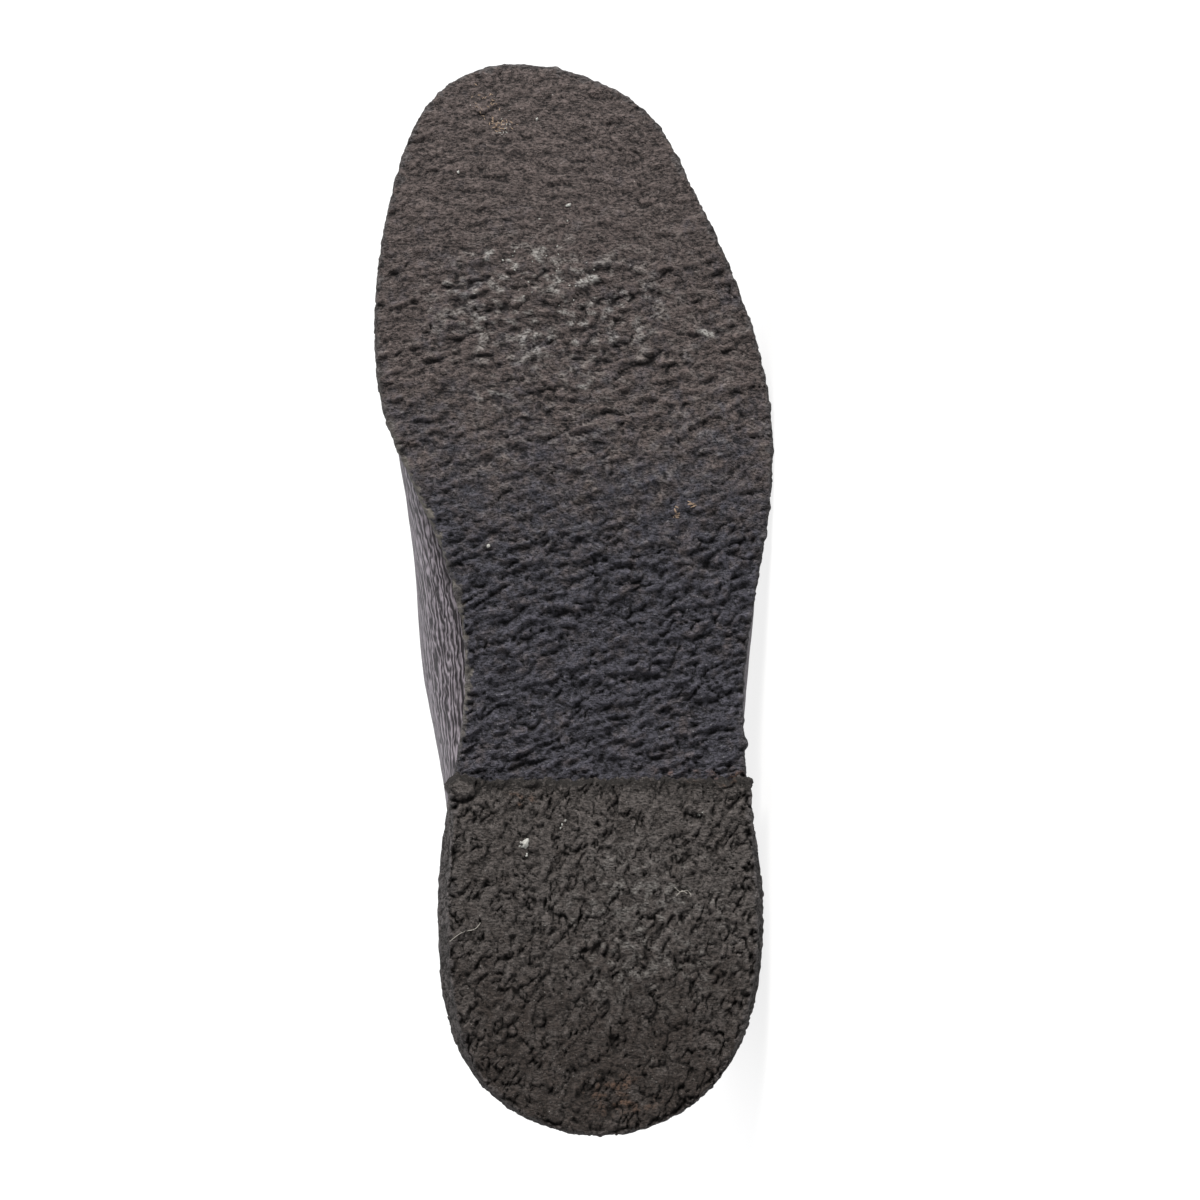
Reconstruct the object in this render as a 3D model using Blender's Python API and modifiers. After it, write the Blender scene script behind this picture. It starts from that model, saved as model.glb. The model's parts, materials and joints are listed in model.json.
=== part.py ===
"""Leather slip-on shoe with a crepe rubber sole, for an adult's left foot, lying on its outer side.

The shoe is worked out in its own frame, in millimetres: x runs forward from the back of the
heel, y to the outer side of the foot, and z up from the ground that the sole would stand on.
It is then laid down as it rests by itself: toe along +X, sole facing -Y, inner side up.
"""

import math
from typing import NamedTuple

import bmesh
import bpy
import numpy as np
from mathutils import Matrix, Vector

MM = 0.001

# Driving dimensions, in millimetres
LENGTH = 282.0
BALL_WIDTH = 104.0
INSTEP = 67.0
HEEL_HEIGHT = 11.5
SOLE_THICKNESS = 5.5
TOE_SPRING = 9.0
WALL = 2.2
INSOLE_THICKNESS = 2.5
FIT_GAP = 0.3

# Places along the length, in millimetres from the back of the heel
HEEL_BREAST = 93.0
SHANK_START = 96.0
TREAD_START = 180.0
SPRING_START = 224.0
THROAT = 166.0
THROAT_END = 108.0

# Upper: the margin lasted under the foot, how roundly the wall turns up off the sole, in shares
# of its turn and rise, and the height of the collar above the ground
LASTING_MARGIN = 8.0
TURN_REACH = 0.9
TURN_LIFT = 0.4
COLLAR_SIDE = 61.0
COLLAR_BACK = 76.0
COLLAR_LOW_X = 112.0

# Heel block: how far the tread edge stands in from the top edge, and where that taper fades out
HEEL_TAPER = 3.4
HEEL_ROUND = 1.2
CORNER_REACH = 30.0

# Rubber edges
SOLE_TOP_ROUND = 0.5
SOLE_TREAD_ROUND = 1.4

# Densities in grams per cubic centimetre, for where the shoe comes to rest
RUBBER_DENSITY = 0.95
LEATHER_DENSITY = 0.85

# Mesh fineness
VAMP_ROWS = 19
THROAT_ROWS = 12
COLLAR_ROWS = 16
TURN_STEPS = 5
WALL_STEPS = 8
SOLE_ROWS = 50
HEEL_ROWS = 22
INSOLE_ROWS = 42
SLAB_COLUMNS = 4
HEEL_ROW_EASE = 0.35
TRACE_STEPS = 2000
NUDGE = 0.01
WELD = 0.02

# Settling: how often the shoe may roll from face to face, and when it lies still
ROLLS = 20
STILL = 0.9999999


class Finish(NamedTuple):
    """Colour and roughness of a surface, and the angle above which its edges are shaded sharp."""

    colour: tuple
    roughness: float
    sharp_degrees: float


CREPE_SOLE = Finish((0.078, 0.068, 0.066), 0.92, 40.0)
CREPE_HEEL = Finish((0.055, 0.047, 0.043), 0.92, 40.0)
INSOLE_BOARD = Finish((0.30, 0.21, 0.13), 0.70, 40.0)
PEBBLED_LEATHER = Finish((0.105, 0.095, 0.110), 0.48, 60.0)


class Edge(NamedTuple):
    """A section's two points on the sole's edge: x in shares of LENGTH, y in shares of BALL_WIDTH."""

    name: str
    inner_x: float
    inner_y: float
    outer_x: float
    outer_y: float


class Last(NamedTuple):
    """A section of the upper: its top line, in shares, and how each wall leaves the sole, in mm.

    The top line's x is a share of LENGTH, its y of BALL_WIDTH and its z of INSTEP. A wall's bulge
    is how far its widest point stands out from the sole's edge, its turn how far it swells on the
    way there, and its rise how high that point is. Roundness 2 makes an ellipse over the top.
    """

    name: str
    top_x: float
    top_y: float
    top_z: float
    inner_bulge: float
    inner_turn: float
    inner_rise: float
    outer_bulge: float
    outer_turn: float
    outer_rise: float
    roundness: float


EDGES = (
    Edge("toe", 1.000, -0.200, 1.000, -0.200),
    Edge("toe_turn", 0.970, -0.413, 0.966, 0.080),
    Edge("toe_side", 0.898, -0.510, 0.896, 0.213),
    Edge("forefoot", 0.809, -0.560, 0.813, 0.318),
    Edge("ball", 0.716, -0.567, 0.718, 0.405),
    Edge("joint", 0.638, -0.515, 0.624, 0.431),
    Edge("waist", 0.535, -0.394, 0.525, 0.400),
    Edge("arch", 0.418, -0.342, 0.411, 0.363),
    Edge("heel_front", 0.301, -0.389, 0.301, 0.383),
    Edge("heel", 0.195, -0.411, 0.195, 0.411),
    Edge("heel_turn", 0.062, -0.332, 0.062, 0.318),
    Edge("heel_back", 0.000, -0.006, 0.000, -0.006),
)

LAST = (
    Last("toe", 0.905, -0.185, 0.58, -3.0, 4.5, 11.0, -3.0, 4.5, 11.0, 2.3),
    Last("toe_turn", 0.894, -0.183, 0.59, -3.0, 4.5, 11.0, -3.0, 4.5, 11.0, 2.3),
    Last("toe_side", 0.868, -0.176, 0.63, -3.0, 4.5, 11.5, -3.0, 4.5, 11.5, 2.2),
    Last("forefoot", 0.807, -0.149, 0.70, -3.0, 4.5, 12.0, -3.0, 4.5, 12.0, 2.2),
    Last("ball", 0.723, -0.109, 0.79, -3.0, 5.0, 13.0, -3.0, 5.0, 13.0, 2.1),
    Last("joint", 0.638, -0.079, 0.90, -0.5, 6.0, 16.0, -2.5, 5.0, 14.0, 2.0),
    Last("waist", 0.543, -0.053, 1.09, 8.0, 9.5, 20.0, 0.5, 6.0, 16.0, 1.9),
    Last("arch", 0.440, -0.029, 1.34, 10.2, 11.0, 23.0, 2.0, 7.0, 17.0, 1.7),
    Last("heel_front", 0.348, -0.012, 1.50, -0.5, 6.5, 21.0, -1.5, 5.5, 18.0, 1.6),
    Last("heel", 0.262, 0.000, 1.58, -3.5, 5.0, 18.0, -3.0, 5.0, 18.0, 1.65),
    Last("heel_turn", 0.191, 0.000, 1.61, -3.5, 5.0, 18.0, -3.5, 5.0, 18.0, 1.9),
    Last("heel_back", 0.163, 0.000, 1.62, -3.5, 5.0, 18.0, -3.5, 5.0, 18.0, 2.2),
)

HEEL_PLACE = len(EDGES) - 1
FULL_TURN = 2 * HEEL_PLACE


def closed_spline(values):
    """Return a smooth function through values at places 0, 1, 2 and so on, closed on itself."""
    knots = np.asarray(values, dtype=float)
    count = len(knots)
    unit = np.eye(count)
    system = 4.0 * unit + np.roll(unit, 1, axis=0) + np.roll(unit, -1, axis=0)
    slopes = np.linalg.solve(system, 3.0 * (np.roll(knots, -1) - np.roll(knots, 1)))

    def at(place):
        place = np.asarray(place, dtype=float)
        start = np.floor(place).astype(int)
        step = place - start
        here, there = start % count, (start + 1) % count
        rest = 1.0 - step
        leaving = knots[here] * (1.0 + 2.0 * step) + slopes[here] * step
        arriving = knots[there] * (1.0 + 2.0 * rest) - slopes[there] * rest
        return leaving * rest * rest + arriving * step * step

    return at


def around(rows, inner, outer, unit):
    """Run one pair of columns down the inner side, toe to heel, and back up the outer side."""
    down = [getattr(row, inner) * unit for row in rows]
    back = [getattr(row, outer) * unit for row in rows[-2:0:-1]]
    return closed_spline(down + back)


edge_x = around(EDGES, "inner_x", "outer_x", LENGTH)
edge_y = around(EDGES, "inner_y", "outer_y", BALL_WIDTH)
top_x = around(LAST, "top_x", "top_x", LENGTH)
top_y = around(LAST, "top_y", "top_y", BALL_WIDTH)
top_z = around(LAST, "top_z", "top_z", INSTEP)
wall_bulge = around(LAST, "inner_bulge", "outer_bulge", 1.0)
wall_turn = around(LAST, "inner_turn", "outer_turn", 1.0)
wall_rise = around(LAST, "inner_rise", "outer_rise", 1.0)
roundness = around(LAST, "roundness", "roundness", 1.0)


def smooth_step(share):
    """Ease from 0 to 1 with level ends."""
    share = np.clip(share, 0.0, 1.0)
    return share * share * (3.0 - 2.0 * share)


def tread_height(x):
    """Height of the outsole's underside: level over the heel, down the shank, level, then toe spring."""
    shank = smooth_step((x - SHANK_START) / (TREAD_START - SHANK_START))
    spring = np.clip((x - SPRING_START) / (LENGTH - SPRING_START), 0.0, None)
    return HEEL_HEIGHT * (1.0 - shank) + TOE_SPRING * spring * spring


def sole_top(x):
    """Height of the outsole's upper face."""
    return tread_height(x) + SOLE_THICKNESS


def sole_edge(place):
    """Plan points of the sole's edge."""
    return np.stack([edge_x(place), edge_y(place)], axis=-1)


def edge_outward(place):
    """Plan directions that point squarely out of the sole's edge."""
    along = sole_edge(place + NUDGE) - sole_edge(place - NUDGE)
    along /= np.linalg.norm(along, axis=-1, keepdims=True)
    return np.stack([-along[..., 1], along[..., 0]], axis=-1)


def edge_offset(place, distance):
    """Plan points at a distance out from the sole's edge, or inside it where that is negative."""
    distance = np.broadcast_to(distance, np.shape(place))
    return sole_edge(place) + edge_outward(place) * distance[..., None]


def wall_foot(place, distance):
    """Plan points at a distance out from the line where the upper leaves the sole."""
    return edge_offset(place, wall_bulge(place) - wall_turn(place) + distance)


def even_places(start, end, count):
    """Places from start to end, spaced evenly along the two sides of the sole."""
    fine = np.linspace(start, end, TRACE_STEPS)
    steps = [np.linalg.norm(np.diff(sole_edge(side), axis=0), axis=1) for side in (fine, FULL_TURN - fine)]
    travelled = np.concatenate([[0.0], np.cumsum(steps[0] + steps[1])])
    return np.interp(np.linspace(0.0, travelled[-1], count), travelled, fine)


def place_of(function, value, start, end):
    """Place between start and end where a falling function reaches a value."""
    fine = np.linspace(start, end, TRACE_STEPS)
    return np.interp(-np.asarray(value), -function(fine), fine)


def on_sole(plan, height):
    """Raise plan points to a height above the outsole's upper face."""
    level = sole_top(plan[:, 0]) + FIT_GAP + height
    return np.column_stack([plan, level])


def lower_wall(place, share):
    """Points where the wall swells off the sole: share 0 lies on the sole, 1 at the widest point."""
    rest = 1.0 - share
    out = 3.0 * rest * rest * share * TURN_REACH + 3.0 * rest * share * share + share**3
    up = 3.0 * rest * share * share * TURN_LIFT + share**3
    return on_sole(wall_foot(place, wall_turn(place) * out), wall_rise(place) * up)


def upper_wall(place, angle):
    """Points where the wall arches over the foot, from its widest point, angle 0, to the top line."""
    widest = lower_wall(place, 1.0)
    top = np.column_stack([top_x(place), top_y(place), top_z(place)])
    power = 2.0 / roundness(place)
    across = 1.0 - np.cos(angle) ** power
    climb = np.sin(angle) ** power
    points = widest + (top - widest) * np.column_stack([across, across, climb])
    fold = np.clip(np.minimum(place, FULL_TURN - place), 10 * NUDGE, HEEL_PLACE - 10 * NUDGE)
    top_slope = (top_z(fold + NUDGE) - top_z(fold - NUDGE)) / (top_x(fold + NUDGE) - top_x(fold - NUDGE))
    points[:, 2] += top_slope * (widest[:, 0] - top[:, 0]) * (1.0 - across) * across**2
    return points


def collar_height(x):
    """Height of the top edge beside the ankle, rising to the back of the heel."""
    back = np.clip((COLLAR_LOW_X - x) / COLLAR_LOW_X, 0.0, None)
    return COLLAR_SIDE + (COLLAR_BACK - COLLAR_SIDE) * back * back


def edge_angle(place):
    """Angle up the wall at which the top edge is cut: level round the ankle, round at the throat."""
    behind = np.minimum(place, FULL_TURN - place)
    behind = np.maximum(behind, place_of(top_x, THROAT_END, 0.0, HEEL_PLACE))
    behind = np.where(place > HEEL_PLACE, FULL_TURN - behind, behind)
    widest = lower_wall(behind, 1.0)[:, 2]
    climb = (collar_height(edge_x(behind)) - widest) / (top_z(behind) - widest)
    power = 2.0 / roundness(behind)
    collar = np.cos(np.arcsin(climb ** (1.0 / power))) ** power
    throat = np.clip((top_x(place) - THROAT_END) / (THROAT - THROAT_END), 0.0, 1.0)
    opening = collar * np.sqrt(1.0 - throat * throat)
    return np.arccos(opening ** (roundness(place) / 2.0))


def upper_places():
    """Places along one side for the upper's columns, closer together round the throat."""
    throat_turn = np.linspace(0.0, math.pi / 2, THROAT_ROWS + 1)
    throat_x = THROAT_END + (THROAT - THROAT_END) * np.cos(throat_turn)
    throat = place_of(top_x, throat_x, 0.0, HEEL_PLACE)
    vamp = even_places(0.0, throat[0], VAMP_ROWS + 1)
    collar = even_places(throat[-1], HEEL_PLACE, COLLAR_ROWS + 1)
    return np.concatenate([vamp[:-1], throat, collar[1:]])


def upper_rings():
    """Outer face of the upper as rings of points, from the lasted margin up to the top edge."""
    side = upper_places()
    place = np.concatenate([side, FULL_TURN - side[-2:0:-1]])
    rings = [on_sole(wall_foot(place, -LASTING_MARGIN), 0.0)]
    rings += [lower_wall(place, share) for share in np.linspace(0.0, 1.0, TURN_STEPS + 1)]
    highest = edge_angle(place)
    rings += [upper_wall(place, highest * share) for share in np.linspace(0.0, 1.0, WALL_STEPS + 1)[1:]]
    return rings


def mesh_object(name, points, faces, collection):
    """Make a mesh object from points in millimetres, with points that coincide welded."""
    body = bmesh.new()
    corners = [body.verts.new(Vector(point) * MM) for point in points]
    for face in faces:
        body.faces.new([corners[index] for index in face])
    bmesh.ops.remove_doubles(body, verts=body.verts[:], dist=WELD * MM)
    mesh = bpy.data.meshes.new(name)
    body.to_mesh(mesh)
    body.free()
    part = bpy.data.objects.new(name, mesh)
    collection.objects.link(part)
    return part


def slab(name, layers, collection):
    """Make a solid from layers, top to bottom, each a pair of point rows along its two sides.

    The first and last layers are capped by columns that run across from side to side, and the
    layers are joined along their rims.
    """
    shares = np.linspace(0.0, 1.0, SLAB_COLUMNS + 1)
    rows = len(layers[0][0])
    across = len(shares)
    grids = []
    for inner, outer, height in layers:
        plan = inner[:, None, :] + (outer - inner)[:, None, :] * shares[None, :, None]
        level = np.broadcast_to(height(plan[..., 0]), plan.shape[:2])
        grids.append(np.concatenate([plan, level[..., None]], axis=-1).reshape(-1, 3))
    points = np.concatenate(grids)
    size = rows * across

    def cap(layer):
        start = layer * size
        for row in range(rows - 1):
            for column in range(across - 1):
                first = start + row * across + column
                yield [first, first + 1, first + across + 1, first + across]

    front = list(range(across))
    outer_side = [row * across + across - 1 for row in range(1, rows)]
    back = [(rows - 1) * across + column for column in range(across - 2, -1, -1)]
    inner_side = [row * across for row in range(rows - 2, 0, -1)]
    rim = front + outer_side + back + inner_side

    faces = list(cap(0)) + list(cap(len(layers) - 1))
    for layer in range(len(layers) - 1):
        for here, there in zip(rim, rim[1:] + rim[:1]):
            upper, lower = layer * size, (layer + 1) * size
            faces.append([upper + here, upper + there, lower + there, lower + here])
    part = mesh_object(name, points, faces, collection)
    body = bmesh.new()
    body.from_mesh(part.data)
    bmesh.ops.dissolve_degenerate(body, edges=body.edges[:], dist=WELD * MM)
    bmesh.ops.recalc_face_normals(body, faces=body.faces[:])
    body.to_mesh(part.data)
    body.free()
    return part


def both_sides(places, offset, *distance):
    """Point rows along the inner and the outer side of an outline."""
    return offset(places, *distance), offset(FULL_TURN - places, *distance)


def make_outsole(collection):
    """Crepe slab with the shoe's whole outline, arch and toe spring."""
    places = even_places(0.0, HEEL_PLACE, SOLE_ROWS)
    levels = (
        (-SOLE_TOP_ROUND, SOLE_THICKNESS),
        (0.0, SOLE_THICKNESS - SOLE_TOP_ROUND),
        (0.0, SOLE_TREAD_ROUND),
        (-SOLE_TREAD_ROUND, 0.0),
    )
    layers = []
    for distance, level in levels:
        inner, outer = both_sides(places, edge_offset, distance)
        layers.append((inner, outer, lambda x, level=level: tread_height(x) + level))
    return slab("outsole", layers, collection)


def make_heel(collection):
    """Crepe heel block under the back of the outsole, with a straight front."""
    starts = [
        place_of(edge_x, HEEL_BREAST, 0.0, HEEL_PLACE),
        place_of(lambda place: edge_x(FULL_TURN - place), HEEL_BREAST, 0.0, HEEL_PLACE),
    ]
    shares = np.linspace(0.0, 1.0, HEEL_ROWS)
    shares = shares * (1.0 + HEEL_ROW_EASE * (1.0 - shares))
    inner_places = starts[0] + (HEEL_PLACE - starts[0]) * shares
    outer_places = FULL_TURN - (starts[1] + (HEEL_PLACE - starts[1]) * shares)

    def side(places, inset):
        from_corner = np.clip((HEEL_BREAST - edge_x(places)) / CORNER_REACH, 0.0, 1.0)
        points = edge_offset(places, -inset * (1.0 - (1.0 - from_corner) ** 2))
        points[0, 0] = HEEL_BREAST
        return points

    levels = (
        (0.0, HEEL_HEIGHT - FIT_GAP),
        (HEEL_TAPER - HEEL_ROUND, HEEL_ROUND),
        (HEEL_TAPER, 0.0),
    )
    layers = []
    for inset, level in levels:
        flat = lambda x, level=level: np.full_like(x, level)
        layers.append((side(inner_places, inset), side(outer_places, inset), flat))
    return slab("heel", layers, collection)


def make_insole(collection):
    """Insole board on the lasted margin, with a thicker middle that fills the space inside it."""
    places = even_places(0.0, HEEL_PLACE, INSOLE_ROWS)
    seat = FIT_GAP + WALL + FIT_GAP
    filler_edge = -LASTING_MARGIN - 2.0 * FIT_GAP
    levels = (
        (-FIT_GAP, seat + INSOLE_THICKNESS),
        (FIT_GAP, seat + INSOLE_THICKNESS / 2),
        (-FIT_GAP, seat),
        (filler_edge, seat),
        (filler_edge, FIT_GAP),
    )
    layers = []
    for distance, level in levels:
        inner, outer = both_sides(places, wall_foot, distance)
        layers.append((inner, outer, lambda x, level=level: sole_top(x) + level))
    return slab("insole", layers, collection)


def make_upper(collection):
    """Leather upper: one lasted shell, open underneath and round the ankle."""
    rings = upper_rings()
    count = len(rings[0])
    faces = []
    for ring in range(len(rings) - 1):
        for column in range(count):
            here, there = ring * count + column, ring * count + (column + 1) % count
            faces.append([here, here + count, there + count, there])
    upper = mesh_object("upper", np.concatenate(rings), faces, collection)
    shell = upper.modifiers.new("wall", "SOLIDIFY")
    shell.thickness = WALL * MM
    shell.offset = -1.0
    shell.use_even_offset = True
    shell.use_quality_normals = True
    return upper


def dress(part, finish):
    """Give a part its material and its shading."""
    material = bpy.data.materials.new(part.name + "_finish")
    material.use_nodes = True
    shader = material.node_tree.nodes["Principled BSDF"]
    shader.inputs["Base Color"].default_value = (*finish.colour, 1.0)
    shader.inputs["Roughness"].default_value = finish.roughness
    shader.inputs["Metallic"].default_value = 0.0
    part.data.materials.append(material)
    part.data.shade_smooth()
    part.data.set_sharp_from_angle(angle=math.radians(finish.sharp_degrees))


def solid_moments(part):
    """Volume of a part, and its centre times that volume, from its evaluated mesh."""
    evaluated = part.evaluated_get(bpy.context.evaluated_depsgraph_get())
    mesh = evaluated.to_mesh()
    mesh.calc_loop_triangles()
    points = np.array([vertex.co for vertex in mesh.vertices])
    corners = points[[list(triangle.vertices) for triangle in mesh.loop_triangles]]
    evaluated.to_mesh_clear()
    sixths = np.einsum("ij,ij->i", corners[:, 0], np.cross(corners[:, 1], corners[:, 2])) / 6.0
    return sixths.sum(), (sixths[:, None] * corners.sum(axis=1) / 4.0).sum(axis=0)


def balance_point(weights):
    """Centre of mass of the parts, from a density for each."""
    mass, moment = 0.0, np.zeros(3)
    for part, density in weights:
        volume, centre = solid_moments(part)
        mass += density * volume
        moment = moment + density * centre
    return Vector(moment / mass)


def resting_face(parts, centre):
    """Outward direction of the hull face, on the outer side, that the balance point stands over."""
    hull = bmesh.new()
    for part in parts:
        for vertex in part.data.vertices:
            hull.verts.new(vertex.co)
    bmesh.ops.convex_hull(hull, input=hull.verts[:])
    bmesh.ops.recalc_face_normals(hull, faces=hull.faces[:])
    planes = [(face.normal.copy(), (face.verts[0].co - centre).dot(face.normal)) for face in hull.faces]
    planes = [(normal, distance) for normal, distance in planes if distance > 0.0]
    down = Vector((0.0, 1.0, 0.0))
    for _ in range(ROLLS):
        facing = [plane for plane in planes if plane[0].dot(down) > 0.0]
        below = min(facing, key=lambda plane: plane[1] / plane[0].dot(down))[0]
        if below.dot(down) > STILL:
            break
        down = below
    hull.free()
    return down


def lay_down(parts, centre, collection):
    """Parent the parts to an empty that lays the shoe on its side, centred over the origin."""
    down = resting_face(parts, centre)
    forward = Vector((1.0, 0.0, 0.0))
    forward = (forward - down * forward.dot(down)).normalized()
    sideways = forward.cross(down)
    turn = Matrix((forward, sideways, -down))
    placed = np.array([turn @ vertex.co for part in parts for vertex in part.data.vertices])
    low, high = placed.min(axis=0), placed.max(axis=0)
    shift = Vector((-(low[0] + high[0]) / 2, -(low[1] + high[1]) / 2, -low[2]))
    pose = bpy.data.objects.new("lying_pose", None)
    collection.objects.link(pose)
    pose.matrix_world = Matrix.Translation(shift) @ turn.to_4x4()
    for part in parts:
        part.parent = pose


def main():
    """Build the shoe and lay it on its side."""
    for old in list(bpy.data.objects):
        bpy.data.objects.remove(old, do_unlink=True)
    collection = bpy.data.collections.new("slip_on_shoe")
    bpy.context.scene.collection.children.link(collection)

    makers = (
        (make_outsole, CREPE_SOLE, RUBBER_DENSITY),
        (make_heel, CREPE_HEEL, RUBBER_DENSITY),
        (make_insole, INSOLE_BOARD, LEATHER_DENSITY),
        (make_upper, PEBBLED_LEATHER, LEATHER_DENSITY),
    )
    weights = []
    for make, finish, density in makers:
        part = make(collection)
        dress(part, finish)
        weights.append((part, density))
    bpy.context.view_layer.update()
    lay_down([part for part, density in weights], balance_point(weights), collection)


main()
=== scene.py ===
"""Finished look of a leather slip-on shoe with a crumbling crepe sole, lying on its outer side.

Every piece is worked out in the shoe's own frame, in millimetres: x runs forward from the back of
the heel, y to the outer side of the foot, and z up from the ground that the sole would stand on.
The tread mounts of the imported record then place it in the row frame, in metres.
"""

import itertools
import json
import logging
import math
from collections.abc import Callable, Sequence
from dataclasses import dataclass, field
from enum import Enum
from functools import reduce
from typing import Any, NamedTuple

import bmesh
import bpy
import numpy as np
from mathutils import Matrix, Vector
from mathutils.kdtree import KDTree


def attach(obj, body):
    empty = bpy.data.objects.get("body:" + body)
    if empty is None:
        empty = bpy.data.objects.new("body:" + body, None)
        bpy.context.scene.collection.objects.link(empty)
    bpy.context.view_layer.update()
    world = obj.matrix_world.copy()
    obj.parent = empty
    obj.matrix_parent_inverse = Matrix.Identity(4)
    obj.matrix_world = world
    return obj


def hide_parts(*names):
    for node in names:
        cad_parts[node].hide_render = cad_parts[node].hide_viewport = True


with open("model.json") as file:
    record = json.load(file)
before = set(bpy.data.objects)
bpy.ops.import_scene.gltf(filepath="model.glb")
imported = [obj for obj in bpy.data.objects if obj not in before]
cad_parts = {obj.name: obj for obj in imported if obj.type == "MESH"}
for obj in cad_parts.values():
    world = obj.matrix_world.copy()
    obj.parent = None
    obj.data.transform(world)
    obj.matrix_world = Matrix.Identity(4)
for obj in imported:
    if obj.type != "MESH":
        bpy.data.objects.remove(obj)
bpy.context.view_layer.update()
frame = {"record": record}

LOG = logging.getLogger("slip_on_shoe")
BODY = "root"
MM = 0.001
LATTICE = 256
NUDGE = 0.01
TRACE_STEPS = 2000
UNIT = (0.0, 1.0)
WHITE = (1.0, 1.0, 1.0, 1.0)

Array = np.ndarray
Numbers = np.ndarray | float
Material = bpy.types.Material
Node = bpy.types.Node
Piece = bpy.types.Object
Socket = bpy.types.NodeSocket
Span = tuple[float, float]
Triple = tuple[float, float, float]
Colour = tuple[float, float, float]


class Slot(Enum):
    """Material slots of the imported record."""

    OUTSOLE = "crepe_outsole"
    HEEL = "crepe_heel"
    INSOLE = "insole"
    UPPER = "leather_upper"


class EdgeRow(NamedTuple):
    """A section's two points on the sole's edge: x in shares of the length, y of the ball width."""

    name: str
    inner_x: float
    inner_y: float
    outer_x: float
    outer_y: float


class LastRow(NamedTuple):
    """A section of the upper: its top line, in shares, and how each wall leaves the sole, in mm."""

    name: str
    top_x: float
    top_y: float
    top_z: float
    inner_bulge: float
    inner_turn: float
    inner_rise: float
    outer_bulge: float
    outer_turn: float
    outer_rise: float
    roundness: float


EDGES = (
    EdgeRow("toe", 1.000, -0.200, 1.000, -0.200),
    EdgeRow("toe_turn", 0.970, -0.413, 0.966, 0.080),
    EdgeRow("toe_side", 0.898, -0.510, 0.896, 0.213),
    EdgeRow("forefoot", 0.809, -0.560, 0.813, 0.318),
    EdgeRow("ball", 0.716, -0.567, 0.718, 0.405),
    EdgeRow("joint", 0.638, -0.515, 0.624, 0.431),
    EdgeRow("waist", 0.535, -0.394, 0.525, 0.400),
    EdgeRow("arch", 0.418, -0.342, 0.411, 0.363),
    EdgeRow("heel_front", 0.301, -0.389, 0.301, 0.383),
    EdgeRow("heel", 0.195, -0.411, 0.195, 0.411),
    EdgeRow("heel_turn", 0.062, -0.332, 0.062, 0.318),
    EdgeRow("heel_back", 0.000, -0.006, 0.000, -0.006),
)

LAST = (
    LastRow("toe", 0.905, -0.185, 0.58, -3.0, 4.5, 11.0, -3.0, 4.5, 11.0, 2.3),
    LastRow("toe_turn", 0.894, -0.183, 0.59, -3.0, 4.5, 11.0, -3.0, 4.5, 11.0, 2.3),
    LastRow("toe_side", 0.868, -0.176, 0.63, -3.0, 4.5, 11.5, -3.0, 4.5, 11.5, 2.2),
    LastRow("forefoot", 0.807, -0.149, 0.70, -3.0, 4.5, 12.0, -3.0, 4.5, 12.0, 2.2),
    LastRow("ball", 0.723, -0.109, 0.79, -3.0, 5.0, 13.0, -3.0, 5.0, 13.0, 2.1),
    LastRow("joint", 0.638, -0.079, 0.90, -0.5, 6.0, 16.0, -2.5, 5.0, 14.0, 2.0),
    LastRow("waist", 0.543, -0.053, 1.09, 8.0, 9.5, 20.0, 0.5, 6.0, 16.0, 1.9),
    LastRow("arch", 0.440, -0.029, 1.34, 10.2, 11.0, 23.0, 2.0, 7.0, 17.0, 1.7),
    LastRow("heel_front", 0.348, -0.012, 1.50, -0.5, 6.5, 21.0, -1.5, 5.5, 18.0, 1.6),
    LastRow("heel", 0.262, 0.000, 1.58, -3.5, 5.0, 18.0, -3.0, 5.0, 18.0, 1.65),
    LastRow("heel_turn", 0.191, 0.000, 1.61, -3.5, 5.0, 18.0, -3.5, 5.0, 18.0, 1.9),
    LastRow("heel_back", 0.163, 0.000, 1.62, -3.5, 5.0, 18.0, -3.5, 5.0, 18.0, 2.2),
)

HEEL_PLACE = len(EDGES) - 1
FULL_TURN = 2 * HEEL_PLACE


class Fade(NamedTuple):
    """A share that eases from 0 at start to 1 at end, level at both. The end may lie below the start."""

    start: float
    end: float

    def __call__(self, value: Array) -> Array:
        """Read the share at each value."""
        share = np.clip((value - self.start) / (self.end - self.start), 0.0, 1.0)
        return share * share * (3.0 - 2.0 * share)


def stack(*columns: Numbers) -> Array:
    """Put columns of equal length, or single numbers, side by side as points."""
    return np.stack(np.broadcast_arrays(*columns), axis=-1).astype(float)


def unit(vectors: Array) -> Array:
    """Scale vectors to length 1, leaving any that have none."""
    return vectors / np.maximum(np.linalg.norm(vectors, axis=-1, keepdims=True), 1e-9)


def travelled(path: Array) -> Array:
    """Distance of each point of a path from its start, along the path."""
    return np.concatenate([[0.0], np.cumsum(np.linalg.norm(np.diff(path, axis=0), axis=1))])


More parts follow.
